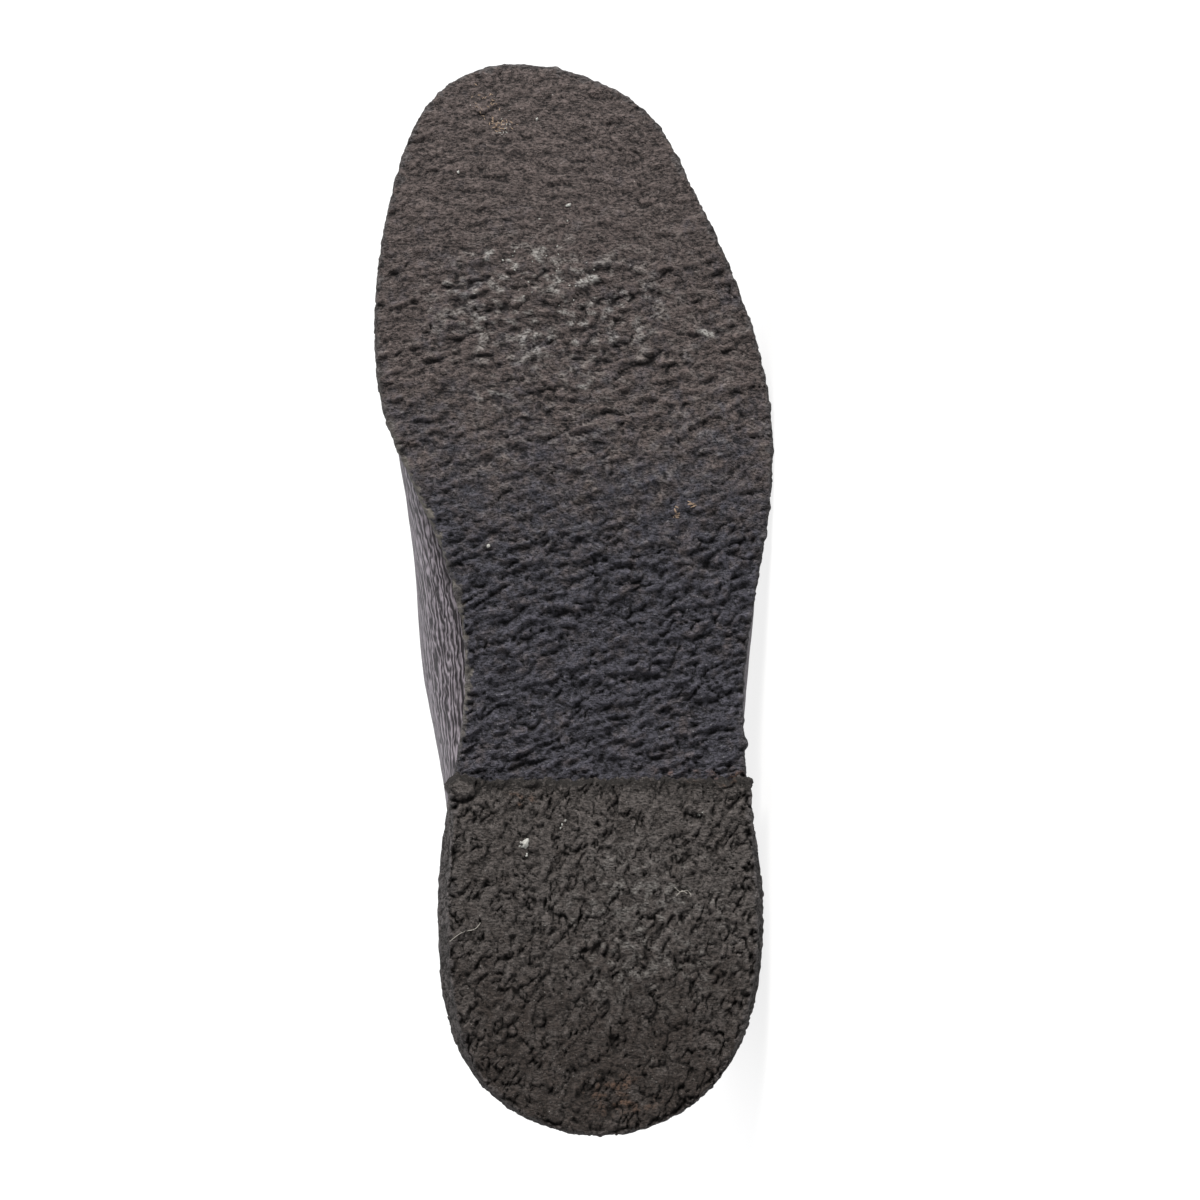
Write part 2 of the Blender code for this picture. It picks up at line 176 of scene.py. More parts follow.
class ClosedSpline:
    """Smooth closed curve through one value for each place round the sole."""

    def __init__(self, values: Sequence[float]) -> None:
        """Fit the curve.

        Args:
            values: Values at places 0, 1, 2 and so on.
        """
        self.knots = np.asarray(values, dtype=float)
        one = np.eye(len(self.knots))
        system = 4.0 * one + np.roll(one, 1, axis=0) + np.roll(one, -1, axis=0)
        change = np.roll(self.knots, -1) - np.roll(self.knots, 1)
        self.slopes = np.linalg.solve(system, 3.0 * change)

    def __call__(self, place: Numbers) -> Array:
        """Read the curve.

        Args:
            place: Places, whole or between.

        Returns:
            The values there.
        """
        place = np.asarray(place, dtype=float)
        start = np.floor(place).astype(int)
        step = place - start
        rest = 1.0 - step
        here, there = start % len(self.knots), (start + 1) % len(self.knots)
        leaving = self.knots[here] * (1.0 + 2.0 * step) + self.slopes[here] * step
        arriving = self.knots[there] * (1.0 + 2.0 * rest) - self.slopes[there] * rest
        return leaving * rest * rest + arriving * step * step


def around(rows: Sequence[NamedTuple], inner: str, outer: str, scale: float = 1.0) -> ClosedSpline:
    """Run two columns of a table round the sole.

    Args:
        rows: Sections from toe to heel.
        inner: Column for the inner side, toe to heel.
        outer: Column for the outer side, heel to toe.
        scale: Length of one unit of the columns.

    Returns:
        The closed curve through them.
    """
    down = [getattr(row, inner) * scale for row in rows]
    back = [getattr(row, outer) * scale for row in rows[-2:0:-1]]
    return ClosedSpline(down + back)


@dataclass
class ShoeLast:
    """True shape of the shoe, from its driving dimensions in millimetres."""

    length: float = 282.0
    ball_width: float = 104.0
    instep: float = 67.0
    heel_height: float = 11.5
    sole_thickness: float = 5.5
    toe_spring: float = 9.0
    wall: float = 2.2
    fit_gap: float = 0.3
    breast_x: float = 93.0
    shank: Fade = Fade(96.0, 180.0)
    spring_start: float = 224.0
    throat_x: float = 166.0
    throat_end: float = 108.0
    turn_reach: float = 0.9
    turn_lift: float = 0.4
    lasting_margin: float = 8.0
    collar_side: float = 61.0
    collar_back: float = 76.0
    collar_low_x: float = 112.0

    def __post_init__(self) -> None:
        """Fit the curves round the sole."""
        self.edge_x = around(EDGES, "inner_x", "outer_x", self.length)
        self.edge_y = around(EDGES, "inner_y", "outer_y", self.ball_width)
        self.top_x = around(LAST, "top_x", "top_x", self.length)
        self.top_y = around(LAST, "top_y", "top_y", self.ball_width)
        self.top_z = around(LAST, "top_z", "top_z", self.instep)
        self.bulge = around(LAST, "inner_bulge", "outer_bulge")
        self.turn = around(LAST, "inner_turn", "outer_turn")
        self.rise = around(LAST, "inner_rise", "outer_rise")
        self.roundness = around(LAST, "roundness", "roundness")

    def tread_height(self, x: Array) -> Array:
        """Height of the outsole's underside: level, down the shank, level, then toe spring."""
        spring = np.clip((x - self.spring_start) / (self.length - self.spring_start), 0.0, None)
        return self.heel_height * (1.0 - self.shank(x)) + self.toe_spring * spring * spring

    def sole_top(self, x: Array) -> Array:
        """Height of the outsole's upper face."""
        return self.tread_height(x) + self.sole_thickness

    def sole_edge(self, place: Array) -> Array:
        """Plan points of the sole's edge."""
        return stack(self.edge_x(place), self.edge_y(place))

    def edge_offset(self, place: Array, distance: Numbers) -> Array:
        """Plan points at distances out from the sole's edge; negative lies inside."""
        along = unit(self.sole_edge(place + NUDGE) - self.sole_edge(place - NUDGE))
        return self.sole_edge(place) + along[..., ::-1] * (-1.0, 1.0) * np.asarray(distance)[..., None]

    def wall_foot(self, place: Array, distance: Numbers) -> Array:
        """Plan points out from the line where the upper leaves the sole; negative lies inside."""
        return self.edge_offset(place, self.bulge(place) - self.turn(place) + distance)

    def place_of(self, curve: Callable[[Array], Array], value: Numbers) -> Array:
        """Places on the inner side, toe to heel, where a falling curve reaches a value."""
        fine = np.linspace(0.0, HEEL_PLACE, TRACE_STEPS)
        return np.interp(-np.asarray(value), -curve(fine), fine)

    def even_places(self, start: float, end: float, count: int) -> Array:
        """Space places evenly along the sole's edge.

        Args:
            start: First place.
            end: Last place.
            count: Number of places.

        Returns:
            The places.
        """
        fine = np.linspace(start, end, TRACE_STEPS)
        reach = travelled(self.sole_edge(fine))
        return np.interp(np.linspace(0.0, reach[-1], count), reach, fine)

    def on_sole(self, plan: Array, height: Numbers) -> Array:
        """Raise plan points to a height above the outsole's upper face."""
        return stack(plan[:, 0], plan[:, 1], self.sole_top(plan[:, 0]) + self.fit_gap + height)

    def lower_wall(self, place: Array, share: float) -> Array:
        """Points where the wall swells off the sole.

        Args:
            place: Places round the sole.
            share: 0 lies on the sole, 1 at the widest point.

        Returns:
            The points, in space.
        """
        rest = 1.0 - share
        out = 3.0 * rest * rest * share * self.turn_reach + 3.0 * rest * share * share + share**3
        up = 3.0 * rest * share * share * self.turn_lift + share**3
        return self.on_sole(self.wall_foot(place, self.turn(place) * out), self.rise(place) * up)

    def upper_wall(self, place: Array, angle: Array) -> Array:
        """Points where the wall arches over the foot.

        Args:
            place: Places round the sole.
            angle: 0 at the widest point, a quarter turn at the top line.

        Returns:
            The points, in space.
        """
        widest = self.lower_wall(place, 1.0)
        top = stack(self.top_x(place), self.top_y(place), self.top_z(place))
        power = 2.0 / self.roundness(place)
        across = 1.0 - np.cos(angle) ** power
        climb = np.sin(angle) ** power
        points = widest + (top - widest) * stack(across, across, climb)
        fold = np.clip(np.minimum(place, FULL_TURN - place), 10 * NUDGE, HEEL_PLACE - 10 * NUDGE)
        fall = self.top_z(fold + NUDGE) - self.top_z(fold - NUDGE)
        slope = fall / (self.top_x(fold + NUDGE) - self.top_x(fold - NUDGE))
        points[:, 2] += slope * (widest[:, 0] - top[:, 0]) * (1.0 - across) * across**2
        return points

    def edge_angle(self, place: Array, margin: float = 0.0) -> Array:
        """Angle up the wall of the top edge, level round the ankle and round at the throat.

        Args:
            place: Places round the sole.
            margin: How far below the cut edge to stay, in millimetres.

        Returns:
            The angles, for upper_wall.
        """
        behind = np.minimum(place, FULL_TURN - place)
        behind = np.maximum(behind, self.place_of(self.top_x, self.throat_end))
        behind = np.where(place > HEEL_PLACE, FULL_TURN - behind, behind)
        back = np.clip((self.collar_low_x - self.edge_x(behind)) / self.collar_low_x, 0.0, None)
        collar = self.collar_side + (self.collar_back - self.collar_side) * back * back - margin
        widest = self.lower_wall(behind, 1.0)[:, 2]
        climb = (collar - widest) / (self.top_z(behind) - widest)
        power = 2.0 / self.roundness(behind)
        half = np.cos(np.arcsin(climb ** (1.0 / power))) ** power
        reach = self.throat_x + margin - self.throat_end
        throat = np.clip((self.top_x(place) - self.throat_end) / reach, 0.0, 1.0)
        opening = half * np.sqrt(1.0 - throat * throat)
        return np.arccos(opening ** (self.roundness(place) / 2.0))

    def throat_places(self, margin: float, count: int) -> Array:
        """Places on the inner side from the throat's front, less a margin, to its end; closer in front."""
        share = np.cos(np.linspace(0.0, math.pi / 2, count))
        return self.place_of(self.top_x, self.throat_end + (self.throat_x + margin - self.throat_end) * share)


@dataclass(frozen=True)
class LyingPose:
    """Where the shoe's own frame lies in the row frame."""

    origin: Array
    axes: Array

    @classmethod
    def from_record(cls, record: dict[str, Any], heel_mount_x: float = 45.0) -> "LyingPose":
        """Read the pose from the two mounts on the tread.

        Args:
            record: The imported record.
            heel_mount_x: Distance of the heel's mount from the back of the heel, in millimetres.

        Returns:
            The pose.
        """
        mounts = {mount["name"]: mount for mount in record["mounts"]}
        heel = np.array(mounts["heel_tread"]["pos_m"])
        forward = unit(np.array(mounts["forefoot_tread"]["pos_m"]) - heel)
        up = -unit(np.array(mounts["heel_tread"]["axis"]))
        return cls(heel - forward * heel_mount_x * MM, np.stack([forward, np.cross(up, forward), up]))

    def turn(self, directions: Sequence[Array] | Array) -> Array:
        """Turn directions of the shoe into the row frame."""
        return np.asarray(directions, dtype=float) @ self.axes

    def place(self, points: Array) -> Array:
        """Bring points of the shoe, in millimetres, into the row frame, in metres."""
        return self.origin + self.turn(points) * MM


@dataclass
class Texture:
    """Seeded noise through space."""

    seed: int

    def __post_init__(self) -> None:
        """Draw the lattice."""
        draw = np.random.default_rng(self.seed)
        self.order = draw.permutation(LATTICE)
        self.directions = unit(draw.normal(size=(LATTICE, 3)))
        self.features = draw.random((LATTICE, 3))

    def row(self, cell: Array) -> Array:
        """Row of the lattice for each cell."""
        pair = self.order[(self.order[cell[:, 0] % LATTICE] + cell[:, 1]) % LATTICE]
        return self.order[(pair + cell[:, 2]) % LATTICE]

    def smooth(self, points: Array) -> Array:
        """Soft noise with features about 1 apart.

        Args:
            points: Where to look.

        Returns:
            Numbers from about -0.7 to 0.7.
        """
        cell = np.floor(points).astype(int)
        inside = points - cell
        ease = inside**3 * (inside * (inside * 6.0 - 15.0) + 10.0)
        total = np.zeros(len(points))
        for corner in itertools.product((0, 1), repeat=3):
            weight = np.prod(np.where(corner, ease, 1.0 - ease), axis=1)
            direction = self.directions[self.row(cell + corner)]
            total += weight * np.einsum("ij,ij->i", direction, inside - corner)
        return total

    def leaning(self, points: Array, overhang: float) -> Array:
        """Soft noise whose lumps lean back along the first axis by their own height."""
        return self.smooth(points + stack(overhang * self.smooth(points), 0.0, 0.0))

    def lumps(self, points: Array, full: float) -> Array:
        """Rounded lumps, 0 in the sharp crevices between them and 1 where the noise is full."""
        return np.clip(np.abs(self.smooth(points)) / full, 0.0, 1.0)

    def cells(self, points: Array) -> tuple[Array, Array, Array]:
        """Split space into cells round scattered points, about 1 apart.

        Args:
            points: Where to look.

        Returns:
            Distances to the nearest and the second nearest of the scattered points, and a number
            from 0 to 1 that is the cell's own.
        """
        cell = np.floor(points).astype(int)
        nearest = np.full(len(points), np.inf)
        second = nearest.copy()
        own = np.zeros(len(points))
        for step in itertools.product((-1, 0, 1), repeat=3):
            there = cell + step
            row = self.row(there)
            distance = np.linalg.norm(there + self.features[row] - points, axis=1)
            own = np.where(distance < nearest, row / LATTICE, own)
            second = np.minimum(second, np.maximum(distance, nearest))
            nearest = np.minimum(nearest, distance)
        return nearest, second, own


class Ripple(NamedTuple):
    """Noise over flat places: its strength, its lengths, and the level at which it cuts the noise. Levels
    lie far enough apart for the patterns to be unalike."""

    strength: float
    lengths: Span | float
    level: float

    def over(self, texture: Texture, places: Array, shift: float = 0.0) -> Array:
        """Read the noise at flat places, with its level shifted."""
        return self.strength * texture.smooth(stack(*(places / self.lengths).T, self.level + shift))


def grid_quads(rows: int, columns: int, closed: bool = False) -> Array:
    """Faces of a grid of points, numbered row by row.

    Args:
        rows: Number of rows.
        columns: Number of columns.
        closed: Whether the last column joins the first.

    Returns:
        Four point numbers for each face.
    """
    row, column = np.meshgrid(np.arange(rows - 1), np.arange(columns - (not closed)), indexing="ij")
    here = (row * columns + column).ravel()
    there = (row * columns + (column + 1) % columns).ravel()
    return np.stack([here, there, there + columns, here + columns], axis=1)


def strip_quads(first: Array, second: Array) -> Array:
    """Faces between two closed loops of point numbers."""
    return np.stack([first, np.roll(first, -1), np.roll(second, -1), second], axis=1)


def add_ring(points: list[Array], faces: list[Array], ring: Array, new: Array) -> Array:
    """Add a ring of points and the faces that join it to the ring before.

    Args:
        points: Points so far, in groups.
        faces: Faces so far, in groups.
        ring: Point numbers of the ring before.
        new: Points of the new ring.

    Returns:
        Point numbers of the new ring.
    """
    following = sum(len(group) for group in points) + np.arange(len(new))
    points.append(new)
    faces.append(strip_quads(ring, following))
    return following


def border_loop(rows: int, columns: int) -> Array:
    """Follow a grid's border once round.

    Args:
        rows: Number of rows.
        columns: Number of columns.

    Returns:
        Point numbers, from the middle of the first row.
    """
    middle = columns // 2
    number = np.arange(rows * columns).reshape(rows, columns)
    first_side = (number[0, middle::-1], number[1:, 0], number[-1, 1:])
    second_side = (number[-2::-1, -1], number[0, -2:middle:-1])
    return np.concatenate(first_side + second_side)


def ladder_faces(loop: Array) -> list[Array]:
    """Close a long loop with faces from side to side.

    Args:
        loop: Point numbers, from the middle of one end.

    Returns:
        The four-cornered faces, and a three-cornered one for each end.
    """
    count = len(loop)
    half = count // 2
    step = np.arange(1, half - 1)
    rungs = loop[np.stack([step, step + 1, count - step - 1, count - step], axis=1)]
    return [rungs, loop[[[0, 1, count - 1], [half - 1, half, half + 1]]]]


def softened(values: Array, passes: int) -> Array:
    """Blur a grid of values.

    Args:
        values: The grid.
        passes: How many times each value becomes the mean of itself and those beside it.

    Returns:
        The blurred grid.
    """
    for axis in (0, 1) * passes:
        first, last = np.take(values, [0], axis), np.take(values, [-1], axis)
        wide = np.concatenate([first, values, last], axis)
        values = sum(np.take(wide, range(step, step + values.shape[axis]), axis) for step in range(3)) / 3
    return values


def loop_outward(plan: Array) -> Array:
    """Find the directions squarely out of a closed loop.

    Args:
        plan: Plan points of the loop, either way round.

    Returns:
        A plan direction for each point.
    """
    along = unit(np.roll(plan, -1, axis=0) - np.roll(plan, 1, axis=0))
    area = np.sum(plan[:, 0] * np.roll(plan[:, 1], -1) - plan[:, 1] * np.roll(plan[:, 0], -1))
    return stack(along[:, 1], -along[:, 0]) * np.sign(area)


def plan_tree(plan: Array) -> KDTree:
    """Sort plan points so that the nearest is found fast.

    Args:
        plan: The points.

    Returns:
        A tree that gives their numbers.
    """
    tree = KDTree(len(plan))
    for number, point in enumerate(plan):
        tree.insert((*point, 0.0), number)
    tree.balance()
    return tree


@dataclass
class Draft:
    """Points in the shoe's frame, faces between them, and numbers that the finish reads."""

    points: Array
    faces: list[Array]
    marks: dict[str, Array] = field(default_factory=dict)

    @classmethod
    def joined(cls, drafts: Sequence["Draft"]) -> "Draft":
        """Put drafts together as one.

        Args:
            drafts: Drafts with the same marks.

        Returns:
            The whole.
        """
        starts = np.cumsum([0, *(len(draft.points) for draft in drafts)])
        faces = [face + start for draft, start in zip(drafts, starts) for face in draft.faces]
        marks = {name: np.concatenate([draft.marks[name] for draft in drafts]) for name in drafts[0].marks}
        return cls(np.concatenate([draft.points for draft in drafts]), faces, marks)

    def mark(self, name: str, values: Array) -> None:
        """Give numbers to the first points, and 0 to any others."""
        self.marks[name] = np.concatenate([values, np.zeros(len(self.points) - len(values))])

    def close(self, ring: Array) -> None:
        """Close a ring with faces to a new point in its middle.

        Args:
            ring: Point numbers of the ring.
        """
        hub = np.full(len(ring), len(self.points))
        self.points = np.vstack([self.points, [self.points[ring].mean(axis=0)]])
        self.faces.append(np.stack([ring, np.roll(ring, -1), hub], axis=1))
        for name, values in self.marks.items():
            self.mark(name, values)

    def normals(self) -> Array:
        """Find the directions squarely out of the points' own faces.

        Returns:
            A direction for each point.
        """
        total = np.zeros_like(self.points)
        for face in self.faces:
            corners = self.points[face]
            normal = np.cross(corners[:, 2] - corners[:, 0], corners[:, -1] - corners[:, 1])
            for column in range(face.shape[1]):
                np.add.at(total, face[:, column], normal)
        return unit(total)

    def make(self, name: str, pose: LyingPose, finish: Material, slot: Slot | None = None,
             node: str | None = None) -> Piece:
        """Make the piece, lying in the row frame and no lower than the floor, and dress it.

        Args:
            name: Name of the piece.
            pose: Where the shoe lies.
            finish: What it is dressed in.
            slot: Slot that the finish stands for; not used.
            node: Solid that it replaces.

        Returns:
            The piece, riding on the shoe's one body.
        """
        corners = np.concatenate([face.ravel() for face in self.faces])
        totals = np.concatenate([np.full(len(face), face.shape[1]) for face in self.faces])
        used, corners = np.unique(corners, return_inverse=True)
        places = pose.place(self.points[used])
        places[:, 2] = np.maximum(places[:, 2], 0.0)
        mesh = bpy.data.meshes.new(name)
        mesh.vertices.add(len(used))
        mesh.vertices.foreach_set("co", places.astype(np.float32).ravel())
        mesh.loops.add(len(corners))
        mesh.loops.foreach_set("vertex_index", corners.astype(np.int32))
        mesh.polygons.add(len(totals))
        mesh.polygons.foreach_set("loop_start", (np.cumsum(totals) - totals).astype(np.int32))
        mesh.update(calc_edges=True)
        for mark, values in self.marks.items():
            layer = mesh.attributes.new(mark, "FLOAT", "POINT")
            layer.data.foreach_set("value", values[used].astype(np.float32))
        body = bmesh.new()
        body.from_mesh(mesh)
        bmesh.ops.recalc_face_normals(body, faces=body.faces[:])
        body.to_mesh(mesh)
        body.free()
        mesh.shade_smooth()
        mesh.materials.append(finish)
        piece = bpy.data.objects.new(name, mesh)
        bpy.context.scene.collection.objects.link(piece)
        if node:
            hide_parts(node)
        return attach(piece, BODY)


def tube(centre: Array, radius: Array, first: Array, second: Array, sides: int) -> Draft:
    """Draw a closed tube round a path.

    Args:
        centre: Points of the path.
        radius: Radius at each of them.
        first: Direction across the path, one for each point or one for all.
        second: Direction square to the path and the first.
        sides: Number of sides.

    Returns:
        The tube, with flat ends.
    """
    turns = np.linspace(0.0, math.tau, sides, endpoint=False)[:, None]
    ring = np.cos(turns) * first[..., None, :] + np.sin(turns) * second[..., None, :]
    points = centre[:, None] + radius[:, None, None] * ring
    rim = np.arange(sides)
    caps = np.stack([rim, rim + (len(centre) - 1) * sides])
    return Draft(points.reshape(-1, 3), [grid_quads(len(centre), sides, True), caps])


class Layer(NamedTuple):
    """Soft noise in a material: the size of its features in millimetres, its number of finer layers,
    the span of it that counts, what that span becomes, and how its features are drawn out."""

    size: float
    detail: float
    span: Span = UNIT
    becomes: Span = UNIT
    stretch: Triple = (1.0, 1.0, 1.0)
    roughness: float = 0.5


class Bump(NamedTuple):
    """Depth of a bump, in millimetres, and how much of it shows."""

    depth: float
    strength: float


class Shader:
    """Node tree of one material, with short calls to add nodes and join them."""

    def __init__(self, name: str) -> None:
        """Start a material.

        Args:
            name: Name of the material.
        """
        self.material = bpy.data.materials.new(name)
        self.material.use_nodes = True
        self.tree = self.material.node_tree
        self.surface = self.tree.nodes["Principled BSDF"]
        self.where = self.node("TexCoord").outputs["Object"]

    def feed(self, socket: Socket, value: Any) -> None:
        """Join another node's output to a socket, or set the socket itself.

        Args:
            socket: Socket to feed.
            value: Another node's output, or a constant.
        """
        if isinstance(value, Socket):
            self.tree.links.new(value, socket)
        else:
            socket.default_value = value

    def set(self, node: Node, *inputs: Any, **values: Any) -> Node:
        """Set a node up.

        Args:
            node: The node.
            *inputs: What its sockets are fed, in their order.
            **values: Its options, in small letters, and what its sockets are fed by name, with _ for spaces.

        Returns:
            The node.
        """
        for name in filter(str.islower, values):
            setattr(node, name, values[name])
        for socket, value in zip(node.inputs, inputs):
            self.feed(socket, value)
        for name in itertools.filterfalse(str.islower, values):
            self.feed(node.inputs[name.replace("_", " ")], values[name])
        return node

    def node(self, kind: str, *inputs: Any, **values: Any) -> Node:
        """Add a node of a kind, named without its ShaderNode in front, and set it up."""
        return self.set(self.tree.nodes.new(f"ShaderNode{kind}"), *inputs, **values)

    def finish(self, **values: Any) -> Material:
        """Set the surface up and hand over the material."""
        self.set(self.surface, **values)
        return self.material

    def mark(self, name: str) -> Socket:
        """Read one of the piece's own numbers."""
        return self.node("Attribute", attribute_name=name).outputs["Fac"]

    def scaled(self, size: float, stretch: Triple) -> Socket:
        """Places in units of a size in millimetres, drawn out along each axis."""
        scale = [1.0 / (size * MM * longer) for longer in stretch]
        return self.node("Mapping", Vector=self.where, Scale=scale).outputs["Vector"]

    def noise_node(self, layer: Layer) -> Node:
        """Add soft noise."""
        where = self.scaled(layer.size, layer.stretch)
        return self.node("TexNoise", Vector=where, Scale=1.0, Detail=layer.detail, Roughness=layer.roughness)

    def noise(self, layer: Layer) -> Socket:
        """Soft noise from 0 to 1."""
        return self.noise_node(layer).outputs["Fac"]

    def layer(self, layer: Layer, noise: Socket | None = None) -> Socket:
        """Soft noise, new or given, mapped from the layer's span to what that becomes."""
        noise = self.noise(layer) if noise is None else noise
        return self.remap(noise, layer.span, layer.becomes)

    def stir(self, layer: Layer, reach: float) -> None:
        """Shift the places that later nodes read by a layer of noise, as far as a reach in millimetres."""
        parts = (self.noise_node(layer).outputs["Color"], [2.0 * reach * MM] * 3, self.where)
        self.where = self.node("VectorMath", *parts, operation="MULTIPLY_ADD").outputs["Vector"]

    def cells(self, size: float, stretch: Triple) -> Socket:
        """Distance from the borders of cells of a size in millimetres, drawn out along each axis."""
        where = self.scaled(size, stretch)
        return self.node("TexVoronoi", where, Scale=1.0, feature="DISTANCE_TO_EDGE").outputs["Distance"]

    def remap(self, value: Socket, span: Span = UNIT, becomes: tuple[Any, Any] = UNIT) -> Socket:
        """Map a value from one span to another, and hold it there."""
        return self.node("MapRange", value, *span, *becomes).outputs["Result"]

    def math(self, operation: str, *values: Any) -> Socket:
        """Work out a number from others by a named operation."""
        return self.node("Math", *values, operation=operation).outputs["Value"]

    def add(self, *values: Any) -> Socket:
        """Add numbers up."""
        return reduce(lambda total, value: self.math("ADD", total, value), values)

    def times(self, first: Any, second: Any) -> Socket:
        """Multiply two numbers."""
        return self.math("MULTIPLY", first, second)

    def mix(self, share: Socket, first: Socket | Colour, second: Socket | Colour) -> Socket:
        """Mix two colours.

        Args:
            share: Share of the second colour.
            first: First colour.
            second: Second colour.

        Returns:
            The mixed colour.
        """
        node = self.node("Mix", share, data_type="RGBA")
        colours = [socket for socket in node.inputs if socket.type == "RGBA"]
        for socket, value in zip(colours, (first, second)):
            self.feed(socket, (*value, 1.0) if isinstance(value, tuple) else value)
        return next(socket for socket in node.outputs if socket.type == "RGBA")

    def bump(self, height: Socket, bump: Bump, **below: Socket) -> Socket:
        """Raise the surface's shading by a height, over any Normal that lies below."""
        node = self.node("Bump", Height=height, Strength=bump.strength, Distance=bump.depth * MM, **below)
        return node.outputs["Normal"]


def report(piece: Piece) -> None:
    """Log a piece's name and its number of triangles."""
    triangles = sum(len(face.vertices) - 2 for face in piece.data.polygons)
    LOG.info("%s: %d triangles", piece.name, triangles)


@dataclass(frozen=True)
class CrepeFinish:
    """Crumbled rubber: painted shade in the crevices against lighter tops, dust, stains and sanded sides."""

    name: str
    # The crevice colours are painted shade for the hollows of the relief, set against the top colours.
    crevice_shade: Colour
    top: Colour
    cool_crevice_shade: Colour
    cool_top: Colour
    dust: Colour = (0.42, 0.42, 0.40)
    stain: Colour = (0.135, 0.072, 0.043)
    side: Colour = (0.090, 0.081, 0.081)
    raw_edge: Colour = (0.13, 0.118, 0.103)
    crumb: Layer = Layer(0.72, 3.0, (0.30, 0.60), (-0.675, 0.315), (0.8, 1.0, 1.4), 0.62)
    glint: Layer = Layer(0.55, 2.0, (0.64, 0.72), (0.0, 0.45))
    pit: Layer = Layer(0.42, 2.0, (0.34, 0.44), (-0.495, 0.0))
    blotch: Layer = Layer(9.0, 4.0, (0.3, 0.7), (-0.35, 0.35))
    mottle: Layer = Layer(2.2, 3.0, (0.35, 0.65), (-0.3, 0.3))
    speck: Layer = Layer(0.38, 1.0, (0.70, 0.78), (0.0, 0.5))
    relief_span: Span = (0.0, 1.25)
    side_cool: Span = (0.0, 0.5)
    stain_span: Span = (0.38, 0.52)
    dust_span: Span = (0.40, 0.58)
    dust_shares: Span = (0.10, 1.0)
    bump: Bump = Bump(0.42, 1.0)
    roughness: float = 0.9
    specular: float = 0.25

    def material(self) -> Material:
        """Make the material.

        Returns:
            A material that reads relief, cool, dust, stain, side and raw_edge.
        """
        shader = Shader(self.name)
        crumbs = shader.noise(self.crumb)
        fine = shader.remap(crumbs, self.crumb.span)
        grain = shader.remap(fine, UNIT, self.crumb.becomes)
        grain = shader.add(grain, shader.layer(self.glint), shader.layer(self.pit))
        # Painted shade and light: the relief mark, the fine crumbs that also drive the bump, painted glints
        # and darker pits pick between the crevice shade and the lighter tops.
        relief = shader.remap(shader.add(shader.mark("relief"), grain), self.relief_span)
        warm = shader.mix(relief, self.crevice_shade, self.top)
        cool = shader.mix(relief, self.cool_crevice_shade, self.cool_top)
        cool_mark = shader.mark("cool")
        cool_share = shader.add(cool_mark, shader.layer(self.blotch), shader.layer(self.mottle))
        colour = shader.mix(shader.remap(cool_share), warm, cool)
        sides = shader.mix(relief, self.crevice_shade, self.side)
        sides = shader.mix(shader.remap(cool_mark, UNIT, self.side_cool), sides, cool)
        colour = shader.mix(shader.mark("side"), colour, sides)
        colour = shader.mix(shader.mark("raw_edge"), colour, self.raw_edge)
        rusty = shader.times(shader.mark("stain"), shader.remap(crumbs, self.stain_span))
        colour = shader.mix(rusty, colour, self.stain)
        dusty = shader.times(shader.mark("dust"), shader.remap(crumbs, self.dust_span, self.dust_shares))
        colour = shader.mix(dusty, colour, self.dust)
        colour = shader.mix(shader.times(shader.layer(self.speck), relief), colour, self.dust)
        return shader.finish(
            Base_Color=colour,
            Roughness=self.roughness,
            Normal=shader.bump(fine, self.bump),
            Specular_IOR_Level=self.specular,
        )


